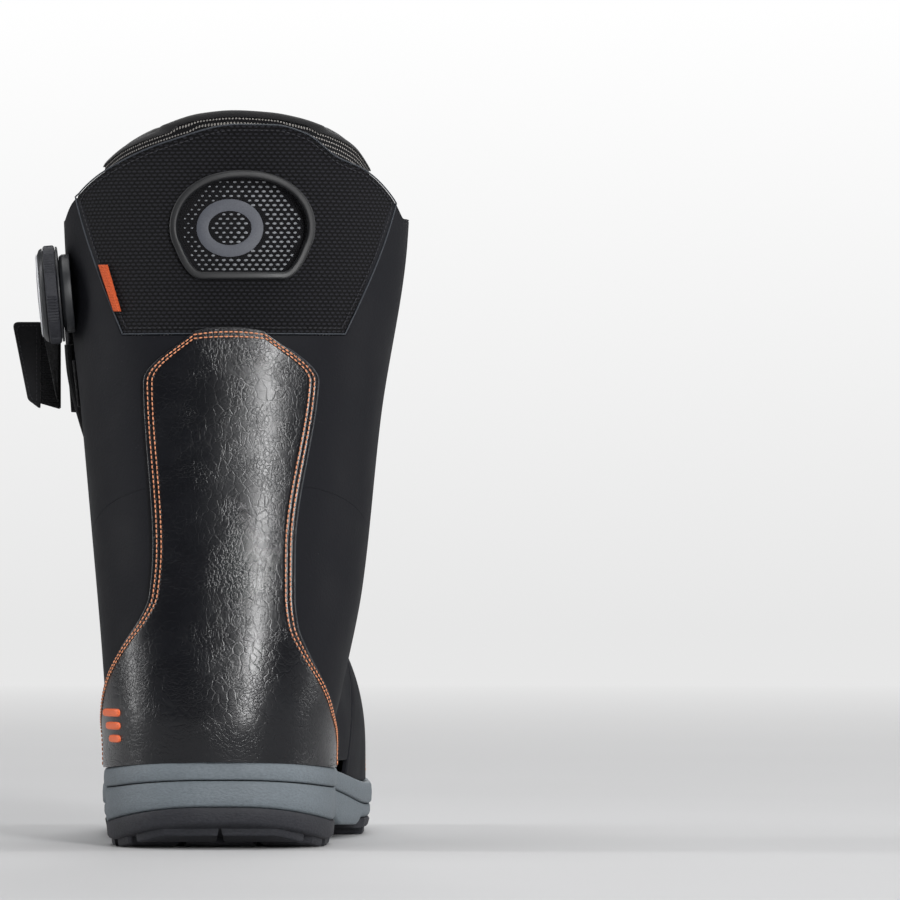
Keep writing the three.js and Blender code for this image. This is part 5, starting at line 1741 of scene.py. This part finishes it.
def build_strap_band():
    """The band with its keeper and cover, and the pile patch that its free end fastens to."""
    out, top = STRAP_STANDOFF, STRAP_TOP
    ridges = lambda point, distance, du, dv: fold_line(distance, 3.0, 0.5, 0.25)
    band = strap_hit(STRAP_MEDIAL, STRAP_LATERAL, STRAP_LOW, STRAP_HIGH)
    panel(
        "strap_band_webbing", band, 150, 24, top, out, M["webbing"], "tongue", "strap_band",
        "webbing", rim=0.7, relief=ridges,
    )
    keeper = strap_hit(172, 188, STRAP_HEIGHT - 11, STRAP_HEIGHT + 11)
    panel(
        "strap_keeper_plate", keeper, 16, 12, out - PART_GAP, 0.4, M["plastic"], "tongue",
        "strap_keeper", "plastic",
    )
    cover = strap_hit(166, 194, STRAP_LOW + 5, STRAP_HIGH - 5)
    panel(
        "strap_front_cover", cover, 30, 20, top + 1.7, top + 0.5, M["leather"], "tongue",
        "strap_front_patch", "plastic", relief=ridges,
    )
    loop = strap_hit(-118, -86, STRAP_LOW + 1, STRAP_LOW + 20)
    panel(
        "strap_loop_pile", loop, 40, 20, 1.3, 0.4, M["hook"], "shell", "strap_loop_patch",
        "mesh_fabric", rim=0.4,
    )


def build_strap_end():
    """The free end stands out from its hinge line, with pile and a folded tab on its back."""
    edge_point, edge_normal = round_leg(STRAP_LATERAL, STRAP_HEIGHT)
    hinge = edge_point + edge_normal * (STRAP_STANDOFF + STRAP_WALL / 2)
    fold_at = STRAP_TAIL - 9.7
    lean = 0.2

    def outline(start, end, trim):
        corners = [
            (start, STRAP_LOW + trim),
            (start, STRAP_HIGH - trim),
            (end, STRAP_HIGH - trim),
            (end - lean * (STRAP_WIDTH - 4 - 2 * trim), STRAP_LOW + 4 + trim),
        ]
        corners = [(hinge[0] - HINGE_ROOM - s, z) for s, z in corners]
        return even(rounded(corners, [0.6, 0.6, 2.2, 2.6], 8), 96)

    y = hinge[1]
    half = STRAP_WALL / 2
    plate(
        "strap_tab_webbing", outline(0, STRAP_TAIL, 0), y - half, y + half, M["webbing"],
        "strap_end", "strap_tab", 0.8,
    )
    behind = y - half - PART_GAP
    plate(
        "strap_hook_pile", outline(1, fold_at - 2.5, 2), behind - 1.2, behind, M["hook"],
        "strap_end", "strap_hook_patch", 0.5,
    )
    end_outline = outline(fold_at - 2, STRAP_TAIL, 0)
    plate(
        "strap_end_fold", end_outline, behind - 1.3, behind, M["endtab"], "strap_end",
        "strap_end_tab", 0.6,
    )
    inner = even(outline(fold_at - 0.4, STRAP_TAIL - 1.6, 1.6), 300)
    path = np.insert(inner, 1, behind - 1.32, axis=1)
    stitches(
        "strap_end_stitching", path, np.tile([0, -1.0, 0], (len(path), 1)), M["dark_thread"], 1.7,
        (0.65, 0.2, 0.16), "strap_end",
    )


def build_strap():
    build_strap_band()
    build_strap_end()


# ---------------------------------------------------------------- eyestays, vamp and toe
def inset_path(hit, side, inset, trim=0.0, count=220):
    """Points and normals on hit(u, v) a distance in from its low u, high u or high v edge: l, r or t.

    trim is how far the path stops short of the neighbouring edges."""
    across, deep = np.linspace(0, 1, count), np.linspace(0, 0.45, 50)
    across, deep = np.meshgrid(across, deep, indexing="ij")
    places = {"l": (deep, across), "r": (1 - deep, across), "t": (1 - across, 1 - deep), "b": (across, deep)}
    point, normal = hit(*places[side])
    reach = along(point, 1)
    found = np.array([np.argmax(r > inset) for r in reach])
    rows = np.arange(count)
    share = (inset - reach[rows, found - 1]) / (reach[rows, found] - reach[rows, found - 1])
    path = mix(point[rows, found - 1], point[rows, found], share[:, None])
    out = unit(mix(normal[rows, found - 1], normal[rows, found], share[:, None]))
    length = along(path, 0)
    keep = (length >= trim) & (length <= length[-1] - trim)
    return path[keep], out[keep]


def seam_round(hit, sides, inset, trim=0.0):
    """Inset paths of several edges joined in order, each running on from the last."""
    paths = []
    for i, side in enumerate(sides):
        path, out = inset_path(hit, side, inset, inset if len(sides) > 1 else trim)
        if side == "l" and i > 0:
            path, out = path[::-1], out[::-1]
        paths.append((path, out))
    return tuple(np.concatenate([p[i] for p in paths]) for i in range(2))


def sew(name, path, lift_by, material="dark_thread", body="shell", pitch=2.2):
    stitches(name, path[0], path[1], M[material], pitch, (0.8, 0.25, 0.2), body, lift_by)


def build_eyestay(side, word):
    low, high, wide = 112.0, up_shell(0.87), 13.0

    def hit(u, v):
        z = mix(low, high, v)
        front = QUARTER_FRONT[side](z) - 1
        return round_leg(side * mix(front - wide, front, u), z)

    out = OVERLAY_GAP + OVERLAY_WALL
    panel(
        f"{word}_eyestay_overlay", hit, 30, 150, out, OVERLAY_GAP, M["leather"],
        nodes=f"{word}_eyestay", slot="shell_leather",
    )
    for row, inset in enumerate((2.2, 4.0)):
        sew(f"{word}_eyestay_stitching_{row}", seam_round(hit, "tl", inset), out + 0.05, "copper")


def vamp_hit(u, v):
    guess = mix(-OVER_RIM[-1](20), OVER_RIM[1](20), u)
    seam = mix(TOECAP_SEAM, TOECAP_SIDE, np.abs(2 * u - 1) ** 2) + 0.3
    back = seam_angle(over(guess, THROAT)[0]) - 0.25
    station = mix(seam, back, v)
    return over(mix(-OVER_RIM[-1](station), OVER_RIM[1](station), u), station)


TOECAP_SEAM = 10.0
TOECAP_SIDE = 14.0
TOE_TIP = -(TOE_Y - FAN_Y) + 0.0002


def toe_hit(u, v):
    seam = mix(TOECAP_SEAM, TOECAP_SIDE, np.abs(2 * u - 1) ** 2)
    station = mix(TOE_TIP, seam, 1 - np.cos(v * np.pi / 2))
    ends = [over(side * OVER_RIM[side](station), station)[0] for side in (-1, 1)]
    lateral, medial = [np.maximum(0, end[..., 2] - rim_top(end[..., 1]) - 0.4) for end in ends]
    point, normal = over(mix(-OVER_RIM[-1](station), OVER_RIM[1](station), u), station)
    point[..., 2] -= mix(lateral, medial, u)
    return point, normal


def build_toe():
    seams = lambda point, distance, du, dv: fold_line(dv[:, -1:] - dv, 2.2) + fold_line(dv, 2.2)
    panel(
        "vamp_panel", vamp_hit, 130, 50, 0, -SHELL_WALL, M["matte"], nodes="vamp",
        slot="shell_leather", relief=seams,
    )
    swell = lambda point, distance, du, dv: creases(point[..., [0, 2, 1]]) * 0.4 * smooth(distance, 3, 9)
    panel(
        "toe_cap_leather", toe_hit, 150, 90, 0.5, -SHELL_WALL, M["leather"], nodes="toe_cap",
        slot="gloss_leather", relief=swell,
    )
    for row, inset in enumerate((2.4, 4.4)):
        sew(f"toe_cap_stitching_{row}", seam_round(toe_hit, "t", inset, 2), 0.55, "copper")


# ---------------------------------------------------------------- tongue
TONGUE_TOP = 90 + SHELL_HEIGHT + 4 - FAN_Z
PAD_TOP = -SHELL_WALL - 0.9
PAD_WALL = 4.0


def tongue_hit(low, high, trim):
    def hit(u, v):
        station = station_at(low, high, v)
        z = over(0, station)[0][..., 2]
        ends = 1 - 0.45 * smooth(v, 0.88, 1) ** 2 - 0.22 * (1 - smooth(v, 0, 0.09))
        half = (throat_half(z) - TONGUE_GAP - trim) * ends
        return over(over_at(mix(-half, half, u), station), station)

    return hit


TONGUE_MIDDLE = 7.0
PULL_PLACES = [(-6, 0.86), (-6, 0.92), (0, 0.95), (6, 0.92), (6, 0.86)]  # angle, height share


def build_tongue_shell():
    shell = tongue_hit(THROAT + 1.6, TONGUE_TOP, 0)

    def flexes(point, distance, du, dv):
        """Grooves across the tongue let its lower half bend."""
        rows = sum(np.exp(-(((dv - at) / 0.9) ** 2)) for at in range(22, 112, 9))
        return fold_line(distance, 2.6) - 0.55 * rows * smooth(distance, 4.5, 6.5)

    panel(
        "tongue_shell_panel", shell, 50, 240, 0, -SHELL_WALL, M["matte"], "tongue", "tongue_shell",
        "shell_leather", relief=flexes,
    )
    sew("tongue_stitching", seam_round(shell, "rtl", 4.2), 0.05, body="tongue")


def build_tongue_padding():
    """The foam behind the tongue and the inner boot's quilted tongue behind that."""
    pad = panel(
        "tongue_pad_foam", tongue_hit(36, TONGUE_TOP - 4, 1.5), 24, 90, PAD_TOP, PAD_TOP - PAD_WALL,
        M["foam"], "tongue", "tongue_pad", "foam", rim=1.6, under=1.2,
    )
    top = PAD_TOP - PAD_WALL - 1.8
    channel = lambda dv: -0.7 * np.exp(-((((dv % 26) - 13) / 1.1) ** 2))
    quilt = lambda point, distance, du, dv: channel(dv) * smooth(distance, 2, 5)
    soft = panel(
        "liner_tongue_quilt", tongue_hit(40, TONGUE_TOP + 3, 3), 24, 160, top, top - 5, M["dashes"],
        "tongue", "liner_tongue", "liner_foam", rim=2.0, under=1.8, relief=quilt,
    )


def build_gussets():
    """Cloth from the tongue's edges to the shell."""
    for word, side in (("lateral", -1), ("medial", 1)):
        low, high = 40, 90 + up_shell(0.86) - FAN_Z

        def gusset(u, v, side=side, low=low, high=high):
            station = station_at(low, high, v)
            half = throat_half(over(0, station)[0][..., 2])
            return over(over_at(side * mix(half - 2.2, half + 5, u), station), station)

        span = ((TONGUE_MIDDLE + side * 30.0, 100, 180), (TONGUE_MIDDLE + side * 22.0, 100, 180))
        panel(
            f"{word}_gusset_cloth", gusset, 12, 90, PAD_TOP - 0.3, PAD_TOP - 1.3, M["binding"],
            (("shell", "tongue"), *span), f"{word}_gusset", "mesh_fabric", rim=0.4,
        )


def build_throat_lining():
    def root(u, v):
        station = mix(THROAT - 3, 35, v)
        half = throat_half(over(0, station)[0][..., 2]) + 5
        return over(over_at(mix(-half, half, u), station), station)

    panel(
        "throat_lining_cloth", root, 40, 14, PAD_TOP - 0.4, PAD_TOP - 1.4, M["binding"], "shell",
        "throat_lining", "mesh_fabric", rim=0.4,
    )


def build_pull_loop():
    places = [round_leg(180 + angle, up_shell(share)) for angle, share in PULL_PLACES]
    corners = np.array([raised(place, 1.6) for place in places])
    path = even(curve_through(corners), 90, closed=False)
    out = round_leg(180, path[:, 2])[1]
    side = unit(np.cross(np.gradient(path, axis=0), out))
    rings = swept(
        path, side, out, rounded([(-1.15, -0.85), (-1.15, 0.85), (1.15, 0.85), (1.15, -0.85)], [0.4] * 4, 4)
    )
    points, faces = ring_body(rings, False)
    make(
        "tongue_pull_webbing", points, faces, M["orange"], "tongue", "tongue_pull_loop",
        points[:, [0, 2]],
    )


def build_tongue():
    build_tongue_shell()
    build_tongue_padding()
    build_gussets()
    build_throat_lining()
    build_pull_loop()


# ---------------------------------------------------------------- lace
def raised(hit, offset):
    return hit[0] + hit[1] * offset


def curve_through(points, per_span=24):
    """A centripetal Catmull-Rom curve through the points."""
    points = np.asarray(points, float)
    padded = np.concatenate([[2 * points[0] - points[1]], points, [2 * points[-1] - points[-2]]])
    t = np.linspace(0, 1, per_span, endpoint=False)[:, None]
    spans = []
    for p0, p1, p2, p3 in zip(padded, padded[1:], padded[2:], padded[3:]):
        d0, d1, d2 = (max(np.linalg.norm(b - a), 1e-6) ** 0.5 for a, b in ((p0, p1), (p1, p2), (p2, p3)))
        start = ((p1 - p0) / d0 - (p2 - p0) / (d0 + d1) + (p2 - p1) / d1) * d1
        end = ((p2 - p1) / d1 - (p3 - p1) / (d1 + d2) + (p3 - p2) / d2) * d1
        a, b = 2 * p1 - 2 * p2 + start + end, -3 * p1 + 3 * p2 - 2 * start - end
        spans.append(a * t**3 + b * t**2 + start * t + p1)
    return np.concatenate([*spans, points[-1:]])


GUIDES = [
    (STRAP_HEIGHT + rise, side)
    for rise, side in [(42, -1), (42, 1), (-34, 1), (-34, -1), (-56, -1), (-56, 1), (-74, 1), (-74, -1)]
]
LACE_LIFT = OVERLAY_GAP + OVERLAY_WALL + LACE_RADIUS + 1.5
SLEEVE_LIFT = 3.2
SPOOL_CORE = 6.5
LACE_OFFSET = SPOOL_CORE + LACE_RADIUS + 0.8
LACE_LEVEL = 0.7
INSIDE, OUTSIDE, TURN_RISE = 1.5, 6.0, 6.0


def beside(guide, back, rise=0.0):
    z, side = guide[0] + rise, guide[1]
    return raised(round_leg(side * (QUARTER_FRONT[side](z) - back), z), LACE_LIFT)


def across_tongue(start, end):
    points = []
    for share in (0.22, 0.5, 0.78):
        p = mix(start, end, share)
        station = 90 + p[2] - FAN_Z if p[2] > FAN_Z else fan_angle(p)
        station = np.array([float(station)])
        middle = over(0, station)[0][0, 0]
        angle = over_at(np.array([p[0] - middle]), station)
        hit = over(angle, station)
        points.append(raised((hit[0][0], hit[1][0]), LACE_RADIUS + 2.4))
    return points


def down_side(first, second):
    steps = max(1, round((first[0] - second[0] - 2 * TURN_RISE) / 14))
    heights = np.linspace(first[0] - TURN_RISE, second[0] + TURN_RISE, steps + 1)
    return [beside((z, first[1]), OUTSIDE) for z in heights]


def from_dial(exit_point, guide, up_by):
    z, side = guide
    start = (-102, mix(DIAL_HEIGHT + up_by, z, 0.25))
    end = (side * (QUARTER_FRONT[side](z) - 15), z)
    way = [on_dial(0, up_by, LACE_LEVEL), on_dial(12, up_by, LACE_LEVEL), exit_point]
    for s in (0, 0.25, 0.5, 0.75, 1):
        hit = round_leg(mix(start[0], end[0], s), mix(start[1], end[1], s))
        way.append(raised(hit, mix(SLEEVE_LIFT, LACE_LIFT, s**4)))
    return way


def lace_way():
    upper = on_dial(DIAL_RADIUS + 3, LACE_OFFSET, LACE_LEVEL)
    lower = on_dial(DIAL_RADIUS + 3, -LACE_OFFSET, LACE_LEVEL)
    way = from_dial(upper, GUIDES[0], LACE_OFFSET)
    for i, guide in enumerate(GUIDES):
        turn, inner = beside(guide, OUTSIDE), beside(guide, INSIDE)
        if i % 2 == 0:
            way += [turn, inner, *across_tongue(inner, beside(GUIDES[i + 1], INSIDE))]
            continue
        way += [inner, turn]
        if i + 1 < len(GUIDES):
            way += down_side(guide, GUIDES[i + 1])
    way += from_dial(lower, GUIDES[-1], -LACE_OFFSET)[::-1]
    return even(curve_through(np.array(way, float).reshape(-1, 3)), 1500, closed=False)


def build_cord(way):
    """The lace is laid in two halves, one on each side of the middle of the tongue."""
    side, up = frames(way)
    for word, sign in (("lateral", -1), ("medial", 1)):
        here = (way[:, 0] - TONGUE_MIDDLE) * sign >= -0.8
        cuts = np.flatnonzero(np.diff(here.astype(int))) + 1
        runs = [run for run in np.split(np.arange(len(way)), cuts) if here[run[0]] and len(run) > 3]
        bodies = [ring_body(swept(way[r], side[r], up[r], circle(LACE_RADIUS, 10)), False) for r in runs]
        points = np.concatenate([b[0] for b in bodies])
        firsts = np.cumsum([0] + [len(b[0]) for b in bodies[:-1]])
        faces = np.concatenate([b[1] + first for b, first in zip(bodies, firsts)])
        start = (TONGUE_MIDDLE + sign * 27.5, 100, 180)
        end = (TONGUE_MIDDLE + sign * 13.0, 100, 180)
        make(
            f"lace_{word}", points, faces, M["lace"], (("shell", "tongue"), start, end), "lace",
            points[:, :2],
        )


def build_guides(way):
    names = ("one", "two", "three", "four")
    for i, guide in enumerate(GUIDES):
        word = "lateral" if guide[1] < 0 else "medial"
        name = f"{word}_guide_{names[i // 2]}"

        def hit(u, v, z=guide[0], side=guide[1]):
            height = z + mix(-5, 5, v)
            return round_leg(side * (QUARTER_FRONT[side](height) - mix(1, 11, u)), height)

        base = OVERLAY_GAP + OVERLAY_WALL + 0.15
        panel(
            name + "_plate", hit, 14, 14, LACE_LIFT + 0.4, base, M["guide"], nodes=name,
            slot="plastic", rim=0.9,
        )
        near = way[np.linalg.norm(way - beside(guide, OUTSIDE), axis=1) < 6.2]
        tube(name + "_channel", near, LACE_RADIUS + 0.85, 14, M["guide"], "shell", name)


def build_sleeves(way):
    """Cloth over the two runs between the dial and the guides."""
    clear = np.linalg.norm(way - DIAL_ORIGIN, axis=1) > DIAL_RADIUS + 13
    for word, guide, part in (("upper", GUIDES[0], slice(0, 750)), ("lower", GUIDES[-1], slice(750, 1500))):
        free = clear[part] & (np.linalg.norm(way[part] - beside(guide, OUTSIDE), axis=1) > 13)
        run = way[part][free]
        gap = np.flatnonzero(np.linalg.norm(np.diff(run, axis=0), axis=1) > 5)
        if len(gap):
            run = run[: gap[0] + 1] if word == "upper" else run[gap[-1] + 1 :]
        name = f"{word}_lace_sleeve"
        tube(name + "_cloth", run, 1.8, 16, M["webbing"], "shell", name)


def build_lace():
    way = lace_way()
    build_cord(way)
    build_guides(way)
    build_sleeves(way)


# ---------------------------------------------------------------- liner
LINER_INSET = SHELL_WALL + 0.9 + 1.6 + 2.4
COLLAR_LEAN = 11.0


def liner_inset(z):
    return LINER_INSET + COLLAR_LEAN * smooth(z, up_shell(0.74), up_shell(0.98))


COLLAR_EDGE = profile(
    [
        (x, up_shell(share))
        for x, share in [
            (-52, 0.92), (-46, 0.94), (-34, 0.981), (-21, 1.003), (-7, 1.0185), (5.5, 1.0227),
            (19, 1.02), (30, 1.013), (42, 0.998), (50, 0.979), (57, 0.94), (62, 0.92),
        ]
    ]
)


def find_throat_edges():
    stations = np.linspace(31, 150, 120)
    half = throat_half(over(0, stations)[0][..., 2]) + 1.5
    medial, lateral = over_at(half, stations), over_at(-half, stations)
    return lambda s: (np.interp(s, stations, medial), -np.interp(s, stations, lateral))


THROAT_EDGES = find_throat_edges()


def round_liner(u, station):
    """The angle over the front at share u of the way round the back, from one throat edge to the other."""
    medial, lateral = THROAT_EDGES(station)
    closed = smooth(station, 27, 31)
    return mix(medial * closed + 0.05, 360 - lateral * closed - 0.05, u)


COLLAR_MIDDLE = 5.5
COLLAR_ROUNDING = 0.9  # makes up for the height the binding's rounding takes off the sides


def collar_height(u):
    """The collar's edge at share u, found from how far across the boot it lies."""
    station = np.full(np.shape(u), 90 + up_shell(0.98) - FAN_Z)
    point, normal = over(round_liner(u, station), station)
    x = (point - normal * liner_inset(point[..., 2])[..., None])[..., 0]
    return COLLAR_EDGE(mix(COLLAR_MIDDLE, x, COLLAR_ROUNDING))


BINDING = 2.8


def build_bootie():
    low = -(TOE_Y - FAN_Y) + 18

    def hit(u, v):
        top = 90 + collar_height(u) - BINDING + 0.8 - FAN_Z
        station = station_at(low, top, v)
        return over(round_liner(u, station), station)

    board = lambda point: groove(point[..., 1]) + 3.2
    liner = panel(
        "liner_bootie", hit, 150, 150, lambda point: -liner_inset(point[..., 2]),
        lambda point: -liner_inset(point[..., 2]) - LINER_WALL, M["dashes"], nodes="liner_shell",
        slot="liner_foam", rim=0.5, floor=lambda point: (board(point) + 0.4, board(point) + 4.4),
    )


def build_collar():
    def rim(u, v):
        station = 90 + collar_height(u) - BINDING * (1 - v) - FAN_Z
        return over(round_liner(u, station), station)

    collar = panel(
        "liner_collar_binding", rim, 170, 16, lambda point: 0.9 - liner_inset(point[..., 2]),
        lambda point: -liner_inset(point[..., 2]) - LINER_WALL - 0.8, M["binding"],
        nodes="liner_collar", slot="liner_foam", rim=3.6, under=3.6,
        open_sides=ONLY_HIGH_EDGE_ROUNDED,
    )


def build_footbed():
    inset = SOLE_LIP + LINER_INSET + LINER_WALL + 0.8
    bed = sole_plate(
        "footbed_foam",
        WHOLE_SOLE,
        [
            (-inset - 1.2, lambda y: groove(y) + 8.2),
            (-inset - 0.3, lambda y: groove(y) + 8.6),
            (-inset, lambda y: groove(y) + 9.4),
            (-inset - 0.4, lambda y: groove(y) + 11.6),
            (-inset - 1.6, lambda y: groove(y) + 12),
            (-inset - 6, lambda y: groove(y) + 11.4),
        ],
        M["foam"],
        "footbed",
    )


def build_liner():
    build_bootie()
    build_collar()
    build_footbed()


def build_all():
    build_shell()
    build_sole()
    build_dial()
    build_strap()
    for side, word in ((-1, "lateral"), (1, "medial")):
        build_eyestay(side, word)
    build_toe()
    build_tongue()
    build_lace()
    build_liner()


build_all()


# ---------------------------------------------------------------- what is left of the frame
NODE_MATERIALS = {
    "heel_crash_pad": "foam",
    "shank_plate": "steel",
    "lasting_board": "board",
    "heel_counter": "plastic",
    "dial_spool": "plastic",
    "dial_pawl_ring": "steel",
    "dial_screw": "steel",
}


def dress_frame():
    """CAD nodes that still show get the material of what they are."""
    for name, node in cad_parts.items():
        node.data.materials.clear()
        node.data.materials.append(M[NODE_MATERIALS.get(name, "matte")])


dress_frame()
